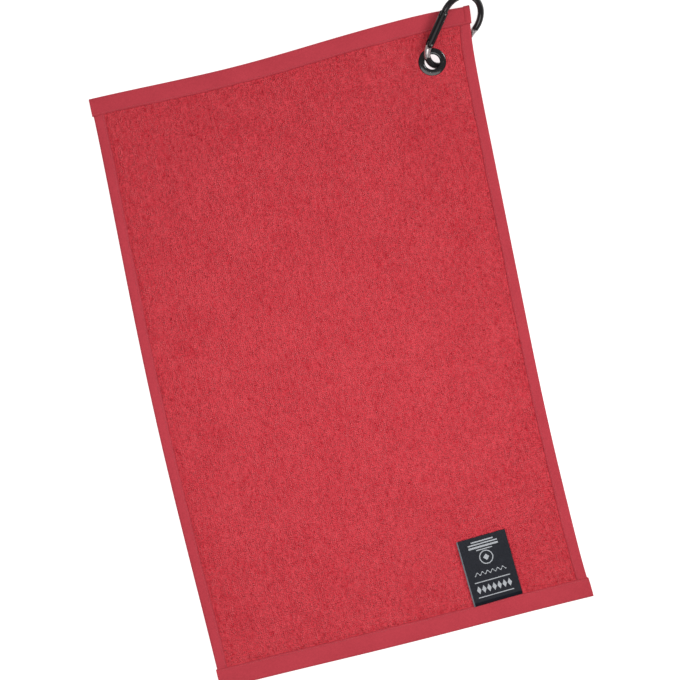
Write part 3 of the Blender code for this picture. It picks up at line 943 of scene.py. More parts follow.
@dataclass
class TerryCloth:
    """The terry: a ground weave that carries loops on both faces."""

    cloth: ClothShape
    finish: bpy.types.Material
    cell: float = 2.2 * MM
    ground_half: float = 0.4 * MM
    body_half: float = 0.85 * MM
    hole: float = 8.5 * MM
    pressed_radius: float = 11.8 * MM
    loop_across: float = 1.55 * MM
    loop_along: float = 1.7 * MM
    under_across: float = 2.9 * MM
    loop_height: float = 0.78 * MM
    loop_width: float = 1.7 * MM
    yarn_radius: float = 0.36 * MM
    under_height: float = 0.25 * MM
    under_width: float = 2.4 * MM
    under_yarn: float = 0.3 * MM
    jitter: float = 0.36 * MM
    most_loops: int = 6400
    tape_room: float = 0.45 * MM
    pressed_run: float = 2.0 * MM
    raw_edge: float = 0.7 * MM
    ground_relief: float = 0.12 * MM
    strip_room: float = 2.8 * MM
    label_reach: float = 6.5 * MM
    label_shade: float = 1.1
    label_crush: float = 0.25
    pieces: list[bpy.types.Object] = field(default_factory=list)

    @property
    def limits(self) -> tuple[float, float, float]:
        """Where the pile ends: half its width, then its low and high ends."""
        cloth, room = self.cloth, self.tape_room
        side = cloth.half_width - cloth.side_tape - room
        return side, cloth.bottom_tape + room - cloth.half_length, cloth.half_length - cloth.top_tape - room

    def inside(self, x: np.ndarray, y: np.ndarray) -> np.ndarray:
        """How far places of the flat cut are inside the tapes' inner edges."""
        side, low, high = self.limits
        return np.minimum(np.minimum(side - np.abs(x), y - low), high - y)

    def from_eyelet(self, placed: np.ndarray) -> np.ndarray:
        """How far points are from the eyelet's middle, seen from above."""
        centre = self.cloth.eyelet
        return np.hypot(placed[:, 0] - centre.x, placed[:, 1] - centre.y)

    def half_thickness(self, x: np.ndarray, y: np.ndarray, placed: np.ndarray) -> np.ndarray:
        """Half the ground's thickness, thinner under the tape and the eyelet."""
        clear = smooth((self.from_eyelet(placed) - self.pressed_radius + 0.5 * MM) / self.pressed_run)
        share = smooth(self.inside(x, y) / (1.2 * MM)) * clear
        return self.ground_half + (self.body_half - self.ground_half) * share

    def build_ground(self) -> bpy.types.Object:
        """The woven ground as one closed sheet with the eyelet's hole."""
        cloth = self.cloth
        side, low, high = self.limits
        xs, ys = (
            np.unique(np.concatenate((np.linspace(-half, half, round(2 * half / self.cell)), limits)))
            for half, limits in (
                (cloth.half_width - self.raw_edge, (-side, side)),
                (cloth.half_length - self.raw_edge, (low, high)),
            )
        )
        columns, rows = len(xs), len(ys)
        gx, gy = (axis.ravel() for axis in np.meshgrid(xs, ys, indexing="ij"))
        middle = np.full_like(gx, cloth.thickness / 2)
        placed = cloth.place(np.column_stack((gx, gy, middle)))
        half = self.half_thickness(gx, gy, placed)
        relief = self.ground_relief * np.random.default_rng(11).uniform(-1, 1, len(gx))
        relief = relief * (half > self.body_half * 0.9)

        corner = np.arange(columns * rows).reshape(columns, rows)
        cells = np.stack((corner[:-1, :-1], corner[1:, :-1], corner[1:, 1:], corner[:-1, 1:]), axis=-1)
        centre = np.array(cloth.eyelet[:2])
        away = np.linalg.norm(placed[cells][..., :2].mean(axis=2) - centre, axis=-1)
        kept = away > self.hole
        rim = np.intersect1d(np.unique(cells[kept]), np.unique(cells[~kept]))
        spoke = placed[rim, :2] - centre
        placed[rim, :2] = centre + spoke / np.linalg.norm(spoke, axis=1)[:, None] * self.hole

        top, bottom = placed.copy(), placed.copy()
        top[:, 2] += half + relief
        bottom[:, 2] -= half + relief
        count = len(placed)
        faces = cells[kept].tolist() + (cells[kept][:, ::-1] + count).tolist()
        faces += self.walls(cells, kept, count)
        used = np.unique(np.array(faces))
        renumber = np.full(2 * count, -1)
        renumber[used] = np.arange(len(used))
        mesh = mesh_of(np.vstack((top, bottom))[used], renumber[np.array(faces)], None)
        for key in ("tip", "shade"):
            mesh.attributes.new(key, "FLOAT", "POINT").data.foreach_set("value", np.full(len(used), 0.5))
        return add_object("terry_cloth", mesh, self.finish)

    @staticmethod
    def walls(cells: np.ndarray, kept: np.ndarray, count: int) -> list[list[int]]:
        """The faces that join the two sides wherever the cloth ends.

        Args:
            cells: corner numbers of every cell of the grid.
            kept: which cells are cloth.
            count: how many points one side has.

        Returns:
            The wall faces.
        """
        padded = np.pad(kept, 1)
        neighbours = {0: padded[1:-1, :-2], 1: padded[2:, 1:-1], 2: padded[1:-1, 2:], 3: padded[:-2, 1:-1]}
        found = []
        for side, beside in neighbours.items():
            ends = cells[kept & ~beside][:, [side, (side + 1) % 4]]
            found += [[a + count, b + count, b, a] for a, b in ends.tolist()]
        return found

    def loop_rule(self, name: str, is_under: bool) -> Rule:
        """The rule that sets a terry loop on every point.

        Args:
            name: the rule's name.
            is_under: True for the underside, where wider loops lie pressed flat.

        Returns:
            The rule.
        """
        rule = Rule(name, {
            "Loop height": self.under_height if is_under else self.loop_height,
            "Loop width": self.under_width if is_under else self.loop_width,
            "Yarn radius": self.under_yarn if is_under else self.yarn_radius,
            "Jitter": self.jitter,
            "Turned over": math.pi if is_under else 0.0,
        })
        height, width = rule.given("Loop height"), rule.given("Loop width")
        half = rule.maths("MULTIPLY", width, 0.5)
        ends = {
            "Start": rule.vector(
                0.0, rule.maths("MULTIPLY", half, -1.0), rule.maths("MULTIPLY", height, -0.25)
            ),
            "Middle": rule.vector(
                rule.maths("MULTIPLY", width, 0.35), 0.0, rule.maths("MULTIPLY", height, 2.1)
            ),
            "End": rule.vector(0.0, half, rule.maths("MULTIPLY", height, -0.25)),
            "Resolution": 3 if is_under else 5,
        }
        path = rule.node("GeometryNodeCurveQuadraticBezier", {}, ends).outputs[0]
        loop = rule.tube(path, rule.given("Yarn radius"), 3, False)
        place = rule.node("GeometryNodeInputPosition", {}, {}).outputs[0]
        level = rule.node("ShaderNodeSeparateXYZ", {}, {0: place}).outputs[2]
        loop = rule.stored(loop, "tip", rule.maths("DIVIDE", level, height), "POINT")

        points = rule.node("GeometryNodeMeshToPoints", {}, {"Mesh": rule.given()}).outputs[0]
        reach = rule.given("Jitter")
        back = rule.maths("MULTIPLY", reach, -1.0)
        stray = rule.vector(rule.chance(back, reach, 1), rule.chance(back, reach, 2), 0.0)
        points = rule.node("GeometryNodeSetPosition", {}, {"Geometry": points, "Offset": stray}).outputs[0]
        slack = 0.1 if is_under else 0.35
        lean = rule.maths("ADD", rule.chance(-slack, slack, 3), rule.given("Turned over"))
        lean = rule.maths("ADD", lean, rule.maths("MULTIPLY", rule.named("nod"), slack / 0.35))
        turn = rule.vector(lean, rule.chance(-slack, slack, 4), rule.chance(-1.35, 1.35, 5))
        settled = rule.node("FunctionNodeEulerToRotation", {}, {0: turn}).outputs[0]
        placed = rule.node("GeometryNodeInstanceOnPoints", {}, {
            "Points": points, "Instance": loop, "Rotation": settled,
            "Scale": rule.maths("MULTIPLY", rule.named("size"), rule.chance(0.86, 1.14, 6)),
        }).outputs[0]
        shade = rule.maths("ADD", rule.named("tone"), rule.chance(-0.08, 0.08, 7))
        rule.close(rule.stored(placed, "shade", shade, "INSTANCE"), self.finish)
        return rule

    def nap(self, x: np.ndarray, y: np.ndarray) -> dict[str, np.ndarray]:
        """How the pile varies: short in pits, leaning together in streaks, crushed beside the tape. Its tone
        also carries painted light, brighter in the middle, and painted shade in the pits and beside the tapes.

        Args:
            x: places across the flat cut.
            y: places along it.

        Returns:
            Each loop's size, tone and nod, by name.
        """
        ragged = self.inside(x, y) + 2.8 * MM * (patches(x, y, 3.2 * MM, 3.2 * MM, 31) - 0.5)
        # the pile is crushed shorter beside the tape, and its tone there is painted shade
        crushed_and_shaded = 1 - smooth(ragged / (2.4 * MM))
        shaded = 1 - smooth(ragged / (11 * MM))
        streak = patches(x, y, 1.9 * MM, 7.5 * MM, 32) - 0.5
        clump = patches(x, y, 3.4 * MM, 4.6 * MM, 33) - 0.5
        rough = smooth((patches(x, y, 26 * MM, 34 * MM, 34) - 0.3) / 0.5) * 0.6 + 0.4 + 0.5 * shaded
        rough = rough + 0.4 * smooth((y - 60 * MM) / (160 * MM))
        pit = smooth((patches(x, y, 2.3 * MM, 3.2 * MM, 35) - 0.7) / 0.22) * rough
        size = 1.0 + 0.25 * streak * rough + 0.2 * clump - 0.4 * pit - 0.3 * crushed_and_shaded
        # painted light: brighter in the middle of the towel, darker towards its edges
        lit = 0.88 - 0.34 * smooth(np.hypot(x * 1.15, y + 40 * MM) / (300 * MM))
        # painted shade: darker in the pits, beside the tapes and, more softly, further in from them
        tone = lit + 0.7 * streak * rough + 0.5 * clump * rough - 0.9 * pit - 0.8 * crushed_and_shaded - 0.12 * shaded
        nod = 0.8 * (patches(x, y, 4.2 * MM, 6.5 * MM, 36) - 0.5)
        return {"size": size, "tone": tone, "nod": nod}

    def label_shadow_and_press(self, placed: np.ndarray) -> np.ndarray:
        """How much painted shadow the label casts on the pile round it, and how much it presses the pile: 1
        under it, fading to 0 a little way off.
        """
        cloth = self.cloth
        width, length = cloth.label_size
        away = placed[:, :2] - np.array(cloth.label_origin)
        cos, sin = math.cos(cloth.label_tilt), math.sin(cloth.label_tilt)
        across, along = away[:, 0] * cos + away[:, 1] * sin, away[:, 1] * cos - away[:, 0] * sin
        aside = np.maximum(np.abs(across) - width / 2, 0)
        past = np.maximum(np.maximum(-along, along - length), 0)
        return 1 - smooth(np.hypot(aside, past) / self.label_reach)

    def loop_points(
        self, across: float, along: float, is_under: bool
    ) -> tuple[np.ndarray, dict[str, np.ndarray]]:
        """Where the loops stand on one face.

        Args:
            across: how far apart they are across the towel.
            along: how far apart they are along it.
            is_under: True for the underside.

        Returns:
            Their places, and how the pile varies over them.
        """
        side, low, high = self.limits
        xs = np.linspace(-side, side, round(2 * side / across))
        ys = np.linspace(low, high, round((high - low) / along))
        gx, gy = (axis.ravel() for axis in np.meshgrid(xs, ys, indexing="ij"))
        gx = gx + np.where(np.arange(len(gx)) % 2, 0.0, across * 0.1)
        placed = self.cloth.place(np.column_stack((gx, gy, np.full_like(gx, self.cloth.thickness / 2))))
        half = self.half_thickness(gx, gy, placed) - 0.1 * MM
        placed[:, 2] += -half if is_under else half
        clear = self.from_eyelet(placed) > self.pressed_radius + 0.2 * MM
        nap = self.nap(gx, gy)
        if not is_under:
            # painted shadow round the label darkens the pile's tone; the loops are also shortened where the
            # label presses
            pile_shadow_and_press = self.label_shadow_and_press(placed)
            nap["tone"] = nap["tone"] - self.label_shade * pile_shadow_and_press
            nap["size"] = nap["size"] - self.label_crush * pile_shadow_and_press
        return placed[clear], {key: value[clear] for key, value in nap.items()}

    def build_loops(self) -> None:
        """The pile of both faces, in strips that each ride on one half or lie over the fold."""
        reach = self.cloth.fold_half + self.strip_room
        low_end, high_end = self.cloth.fold_at - reach, self.cloth.fold_at + reach
        faces = (
            ("pile", False, self.loop_across, self.loop_along),
            ("under_pile", True, self.under_across, self.under_across),
        )
        for name, is_under, across, along in faces:
            rule = self.loop_rule(name + "_loops", is_under)
            points, nap = self.loop_points(across, along, is_under)
            level = points[:, 1]
            regions = (
                ("lower", Body.LOWER, level < low_end),
                ("fold", None, (level >= low_end) & (level <= high_end)),
                ("upper", Body.UPPER, level > high_end),
            )
            for region, body, here in regions:
                chosen = np.flatnonzero(here)
                chosen = chosen[np.argsort(level[chosen], kind="stable")]
                strips = np.array_split(chosen, math.ceil(len(chosen) / self.most_loops))
                for number, strip in enumerate(strips, 1):
                    label = f"{name}_{region}" + (f"_{number}" if len(strips) > 1 else "")
                    seeds = mesh_of(points[strip], [], None)
                    for key, value in nap.items():
                        seeds.attributes.new(key, "FLOAT", "POINT").data.foreach_set("value", value[strip])
                    self.finish_strip(rule.grow(seeds, label), body)

    def finish_strip(self, piece: bpy.types.Object, body: Body | None) -> None:
        """Lays a strip's bake map flat from above and, if it has a body, sets it moving.

        Args:
            piece: the strip of pile.
            body: what it rides on, or None for a strip over the fold.
        """
        points = np.empty(len(piece.data.vertices) * 3)
        piece.data.vertices.foreach_get("co", points)
        flat = points.reshape(-1, 3)[:, :2]
        low, high = flat.min(axis=0), flat.max(axis=0)
        store_map(piece.data, "OFBake", (flat - low) / (high - low).max())
        if body is None:
            self.cloth.blend(piece)
            log.info("%s bends over the fold, %d faces", piece.name, len(piece.data.polygons))
        else:
            finished(piece, body)
        self.pieces.append(piece)

    def build(self) -> bpy.types.Object:
        """Builds the ground and the pile and returns the ground."""
        ground = self.build_ground()
        self.cloth.blend(ground)
        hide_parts("terry_cloth_lower", "terry_cloth_upper")
        log.info("terry_cloth bends over the fold, %d faces", len(ground.data.polygons))
        self.build_loops()
        return ground


# Binding

@dataclass
class Binding:
    """One edge's tape, folded round the cloth, with its row of stitches."""

    cloth: ClothShape
    side: Side
    tape: bpy.types.Material
    thread: bpy.types.Material
    width: float
    thickness: float = 2.0 * MM
    wall: float = 0.42 * MM
    overhang: float = 1.0 * MM
    seam_inset: float = 1.5 * MM
    station: float = 2.4 * MM
    stitch: float = 3.1 * MM
    stitch_length: float = 2.5 * MM
    thread_radius: float = 0.2 * MM
    tuck: float = 4.0 * MM
    pleat_at: float = 148.4 * MM
    pleat_step: float = 0.5 * MM
    edge_run: float = 2.0 * MM
    edge_drop: float = 0.75 * MM
    edge_wander: tuple[float, float] = (0.35 * MM, 0.16 * MM)
    crown: float = 0.16 * MM
    puckers: tuple[float, float] = (0.10 * MM, 0.08 * MM)
    seam_dent: float = 0.12 * MM

    @property
    def span(self) -> tuple[float, float]:
        """Where the tape starts and ends along its edge."""
        cloth = self.cloth
        if self.side.is_end:
            reach = cloth.half_width + self.overhang
            return -reach, reach
        return (
            cloth.bottom_tape - self.tuck - cloth.half_length,
            cloth.half_length - cloth.top_tape + self.tuck,
        )

    def section(self) -> np.ndarray:
        """The folded tape's outline: depth in from the edge, then height over the cloth's middle.

        Its first half runs round the outside and its second half back along the inside, point for point.
        """
        half, wall, width = self.thickness / 2, self.wall, self.width
        run, drop = self.edge_run, self.edge_drop
        flat = [width, width - 0.12 * MM, width - 0.45 * MM]
        flat += np.linspace(width - 2.2 * MM, run + 0.5 * MM, 6).tolist()
        eased = [0.28 * MM, 0.06 * MM] + [0.0] * (len(flat) - 2)
        outside = [(depth, half - ease) for depth, ease in zip(flat, eased)]
        inside = [(depth, half - wall) for depth in flat]
        for turn in np.linspace(0, math.pi / 2, 7):
            across, up = math.sin(turn), math.cos(turn)
            outside.append((run - run * across, half - drop + drop * up))
            inside.append((run - (run - wall) * across, half - drop + (drop - wall) * up))
        outside += [(depth, -height) for depth, height in reversed(outside)]
        inside += [(depth, -height) for depth, height in reversed(inside)]
        return np.array(outside + inside[::-1])

    def flat(self, depth: np.ndarray, along: np.ndarray, height: np.ndarray) -> np.ndarray:
        """Points of the flat cut, from depth in from the edge, distance along it and height."""
        level = self.cloth.thickness / 2 + height
        if self.side.is_end:
            return np.column_stack((along, self.side.sign * (self.cloth.half_length - depth), level))
        return np.column_stack((self.side.sign * (self.cloth.half_width - depth), along, level))

    def squeeze(self, along: np.ndarray) -> np.ndarray:
        """How much of its thickness a side tape keeps where it is sewn under the end tapes."""
        if self.side.is_end:
            edge = self.cloth.half_width - self.cloth.side_tape
            return 1 + 0.09 * smooth((np.abs(along) - edge) / (4 * MM))
        cloth = self.cloth
        low, high = cloth.bottom_tape - cloth.half_length, cloth.half_length - cloth.top_tape
        outside = np.maximum(low - along, along - high)
        return 1 - 0.5 * smooth((outside + 1.6 * MM) / (1.6 * MM))

    def build_tape(self) -> bpy.types.Object:
        """The tape as a closed solid along its edge."""
        section = self.section()
        start, end = self.span
        stops = np.linspace(start, end, round((end - start) / self.station))
        is_pleated = self.side is Side.TOP
        if is_pleated:
            pleat = self.pleat_at + np.array((-0.9, -0.5, -0.25, 0.0, 0.25, 0.6)) * MM
            stops = np.sort(np.concatenate((stops, pleat)))
        ring, count = len(section), len(stops)
        depth, height = np.tile(section[:, 0], count), np.tile(section[:, 1], count)
        along = np.repeat(stops, ring)
        seed = 20 + list(Side).index(self.side) * 5
        inner = smooth((depth - self.width * 0.55) / (self.width * 0.45))
        depth = depth + self.edge_wander[0] * wobble(along, seed, 90 * MM) * inner
        depth = depth + self.edge_wander[1] * wobble(along, seed + 1, 11 * MM) * inner
        seam = np.exp(-(((depth - (self.width - self.seam_inset)) / (0.55 * MM)) ** 2))
        middle = np.exp(-(((depth - self.width * 0.45) / (self.width * 0.3)) ** 2))
        outer = np.abs(height) > self.thickness / 2 - self.wall * 0.9
        pucker = self.puckers[0] * wobble(along, seed + 2, 17 * MM)
        pucker = pucker + self.puckers[1] * wobble(along, seed + 3, 6 * MM)
        rise = middle * (self.crown + pucker) - seam * self.seam_dent
        height = height + np.sign(height) * outer * rise
        height = height * self.squeeze(along)
        if is_pleated:
            beyond = along - self.pleat_at
            crease = np.exp(-((beyond / (0.35 * MM)) ** 2))
            height = height * (1 - 0.4 * crease + 0.12 * smooth(beyond / MM))
            stepped = smooth((beyond + 0.25 * MM) / (0.5 * MM))
            depth = depth - self.pleat_step * stepped * (1 - depth / self.width)
        points = self.cloth.place(self.flat(depth, along, height))

        rows = np.arange(count * ring).reshape(count, ring)
        ahead = np.roll(rows, -1, axis=1)
        quads = np.stack((rows[:-1], ahead[:-1], ahead[1:], rows[1:]), axis=-1).reshape(-1, 4)
        faces = quads.tolist()
        paired = np.stack((rows[:, :ring // 2], rows[:, ::-1][:, :ring // 2]), axis=-1)
        for end in (paired[0], paired[-1]):
            faces += np.column_stack((end[:-1], end[1:, ::-1])).tolist()
        mesh = mesh_of(points, faces, 50)
        face_outwards(mesh)
        walked = np.concatenate(([0], np.cumsum(np.linalg.norm(np.diff(section, axis=0), axis=1))))
        store_map(mesh, "tape", np.column_stack((along, np.tile(walked, count))))
        return add_object(f"{self.side.value}_binding_tape", mesh, self.tape)

    def build_stitches(self) -> bpy.types.Object:
        """The row of stitches on both leaves of the tape."""
        cloth = self.cloth
        if self.side.is_end:
            start, end = -cloth.half_width + 1.2 * MM, cloth.half_width - 1.2 * MM
        else:
            start, end = cloth.bottom_tape - cloth.half_length + MM, cloth.half_length - cloth.top_tape - MM
        stops = np.linspace(start, end, round((end - start) / self.stitch))
        rows = []
        for face in (1, -1):
            depth = np.full_like(stops, self.width - self.seam_inset)
            height = np.full_like(stops, face * (self.thickness / 2 - 0.02 * MM))
            rows.append(cloth.place(self.flat(depth, stops, height)))
        count = len(stops)
        links = [(base + index, base + index + 1) for base in (0, count) for index in range(count - 1)]
        mesh = bpy.data.meshes.new("seam_line")
        mesh.from_pydata(np.vstack(rows).tolist(), links, [])

        rule = Rule(f"{self.side.value}_stitch_row", {
            "Stitch length": self.stitch_length,
            "Thread radius": self.thread_radius,
            "Pitch": self.stitch,
        })
        line = rule.node("GeometryNodeMeshToCurve", {}, {"Mesh": rule.given()}).outputs[0]
        inputs = {"Curve": line, "Length": rule.given("Pitch")}
        points = rule.node("GeometryNodeResampleCurve", {"mode": "LENGTH"}, inputs).outputs[0]
        tangent = rule.node("GeometryNodeInputTangent", {}, {}).outputs[0]
        inputs = {"Vector": tangent}
        turn = rule.node("FunctionNodeAlignRotationToVector", {"axis": "Y"}, inputs).outputs[0]
        half = rule.maths("MULTIPLY", rule.given("Stitch length"), 0.5)
        path = rule.node("GeometryNodeCurveQuadraticBezier", {}, {
            "Start": rule.vector(0.0, rule.maths("MULTIPLY", half, -1.0), 0.0),
            "Middle": rule.vector(0.0, 0.0, rule.given("Thread radius")),
            "End": rule.vector(0.0, half, 0.0),
            "Resolution": 4,
        }).outputs[0]
        thread = rule.tube(path, rule.given("Thread radius"), 6)
        inputs = {"Points": points, "Instance": thread, "Rotation": turn}
        rule.close(rule.node("GeometryNodeInstanceOnPoints", {}, inputs).outputs[0], self.thread)
        return rule.grow(mesh, f"{self.side.value}_stitches")

    def build(self) -> list[bpy.types.Object]:
        """Builds the tape and its stitches, and sets the end tapes' pieces moving with their half."""
        tape, stitches = self.build_tape(), self.build_stitches()
        for piece, slot, kind in (
            (tape, Slot.BINDING, "binding"), (stitches, Slot.THREAD, "seam_thread")
        ):
            name = self.side.value
            if self.side.is_end:
                body = Body.UPPER if self.side is Side.TOP else Body.LOWER
                finished(piece, body, (f"{name}_{kind}",))
                continue
            self.cloth.blend(piece)
            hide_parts(f"{name}_{kind}_lower", f"{name}_{kind}_upper")
            log.info("%s bends over the fold, %d faces", piece.name, len(piece.data.polygons))
        return [tape, stitches]


# Turned and bent metal

ALONG_X = Matrix(((0, 0, 1, 0), (1, 0, 0, 0), (0, 1, 0, 0), (0, 0, 0, 1)))


def turned(profile: list[tuple[float, float]], place: Matrix, sides: int = 96) -> bpy.types.Mesh:
    """A solid turned about Z.

    Args:
        profile: radius and height round a closed outline, or one whose two ends lie on the axis.
        place: where it goes.
        sides: how many steps the turn has.

    Returns:
        The mesh, its faces outwards.
    """
    work = bmesh.new()
    ring = [work.verts.new((radius, 0, height)) for radius, height in profile]
    links = list(zip(ring, ring[1:]))
    if profile[0][0] > 0:
        links.append((ring[-1], ring[0]))
    edges = [work.edges.new(pair) for pair in links]
    bmesh.ops.spin(
        work, geom=ring + edges, cent=(0, 0, 0), axis=(0, 0, 1),
        angle=2 * math.pi, steps=sides, use_merge=True,
    )
    bmesh.ops.remove_doubles(work, verts=work.verts, dist=1e-6)
    bmesh.ops.recalc_face_normals(work, faces=work.faces)
    bmesh.ops.transform(work, matrix=place, verts=work.verts)
    mesh = bpy.data.meshes.new("turned")
    work.to_mesh(mesh)
    work.free()
    mesh.shade_smooth()
    mesh.set_sharp_from_angle(angle=math.radians(38))
    return mesh


def block(low: Vector, high: Vector, place: Matrix) -> bpy.types.Mesh:
    """A box between two corners, turned into place."""
    corners = [
        Vector((x, y, z)) for x in (low.x, high.x) for y in (low.y, high.y) for z in (low.z, high.z)
    ]
    faces = [(0, 1, 3, 2), (4, 6, 7, 5), (0, 4, 5, 1), (2, 3, 7, 6), (0, 2, 6, 4), (1, 5, 7, 3)]
    mesh = bpy.data.meshes.new("block")
    mesh.from_pydata([place @ corner for corner in corners], [], faces)
    return mesh


def carved(
    name: str, mesh: bpy.types.Mesh, cutters: list[bpy.types.Mesh], finish: bpy.types.Material
) -> bpy.types.Object:
    """Cuts shapes out of a solid.

    Args:
        name: the finished piece's name.
        mesh: the solid.
        cutters: what is taken away.
        finish: the piece's material.

    Returns:
        The finished piece.
    """
    source = add_object(name + "_blank", mesh, finish)
    tools = [add_object(f"{name}_tool_{number}", cutter) for number, cutter in enumerate(cutters)]
    for tool in tools:
        step = source.modifiers.new(tool.name, "BOOLEAN")
        step.operation, step.solver, step.object = "DIFFERENCE", "EXACT", tool
    piece = plain(source, name)
    for tool in tools:
        bpy.data.objects.remove(tool)
    piece.data.materials.clear()
    piece.data.materials.append(finish)
    piece.data.shade_smooth()
    piece.data.set_sharp_from_angle(angle=math.radians(32))
    return piece


def arc_points(
    start: tuple[float, float], end: tuple[float, float], is_steep_first: bool, steps: int
) -> list[tuple[float, float]]:
    """Points on a quarter ellipse between two points.

    Args:
        start: the first point.
        end: the last point.
        is_steep_first: True where it leaves the first point upwards.
        steps: how many steps it has.

    Returns:
        The points, both ends among them.
    """
    found = []
    for step in range(steps + 1):
        turn = math.pi / 2 * step / steps
        slow, fast = 1 - math.cos(turn), math.sin(turn)
        across, up = (slow, fast) if is_steep_first else (fast, slow)
        found.append((start[0] + (end[0] - start[0]) * across, start[1] + (end[1] - start[1]) * up))
    return found


@dataclass
class Eyelet:
    """The domed eyelet and the washer it is rolled over."""

    cloth: ClothShape
    finish: bpy.types.Material
    hole: float = 6.0 * MM
    flange: float = 11.0 * MM
    barrel_wall: float = 0.5 * MM
    seat: float = 0.8 * MM
    crown: float = 0.8 * MM
    crown_run: float = 1.6 * MM
    edge: float = 0.25 * MM
    washer_wall: float = 0.25 * MM
    roll_width: float = 1.7 * MM
    roll_depth: float = 0.45 * MM
    gap: float = 0.3 * MM

    def build(self) -> list[bpy.types.Object]:
        """Builds both pieces."""
        place = Matrix.Translation(self.cloth.eyelet)
        hole, barrel, flange = self.hole, self.hole + self.barrel_wall, self.flange
        top = self.seat + self.crown
        washer_bottom = -self.seat - self.washer_wall
        roll_top = washer_bottom - self.gap
        roll_bottom, rim = roll_top - self.roll_depth, barrel + self.roll_width
        outline = arc_points((hole, self.seat - self.gap), (hole + self.crown_run, top), True, 12)
        outline += arc_points((hole + self.crown_run, top), (flange, self.seat + self.edge), False, 14)[1:]
        outline += arc_points((flange, self.seat + self.edge), (flange - self.edge, self.seat), True, 4)[1:]
        outline += [(barrel, self.seat), (barrel, roll_top), (rim, roll_top)]
        outline += arc_points((rim, roll_top), (rim - self.roll_width / 2, roll_bottom), True, 6)[1:]
        outline += arc_points((rim - self.roll_width / 2, roll_bottom), (hole, -self.seat), False, 8)[1:]
        ring = add_object("eyelet_ring", turned(outline, place, 128), self.finish)
        inner = barrel + self.gap
        flat = [(inner, -self.seat), (flange - 0.1 * MM, -self.seat), (flange, -self.seat - 0.08 * MM)]
        flat += [(flange - self.washer_wall, washer_bottom), (inner, washer_bottom)]
        washer = add_object("eyelet_back_washer", turned(flat, place, 96), self.finish)
        finished(ring, Body.UPPER, ("eyelet",))
        finished(washer, Body.UPPER, ("eyelet_washer",))
        return [ring, washer]


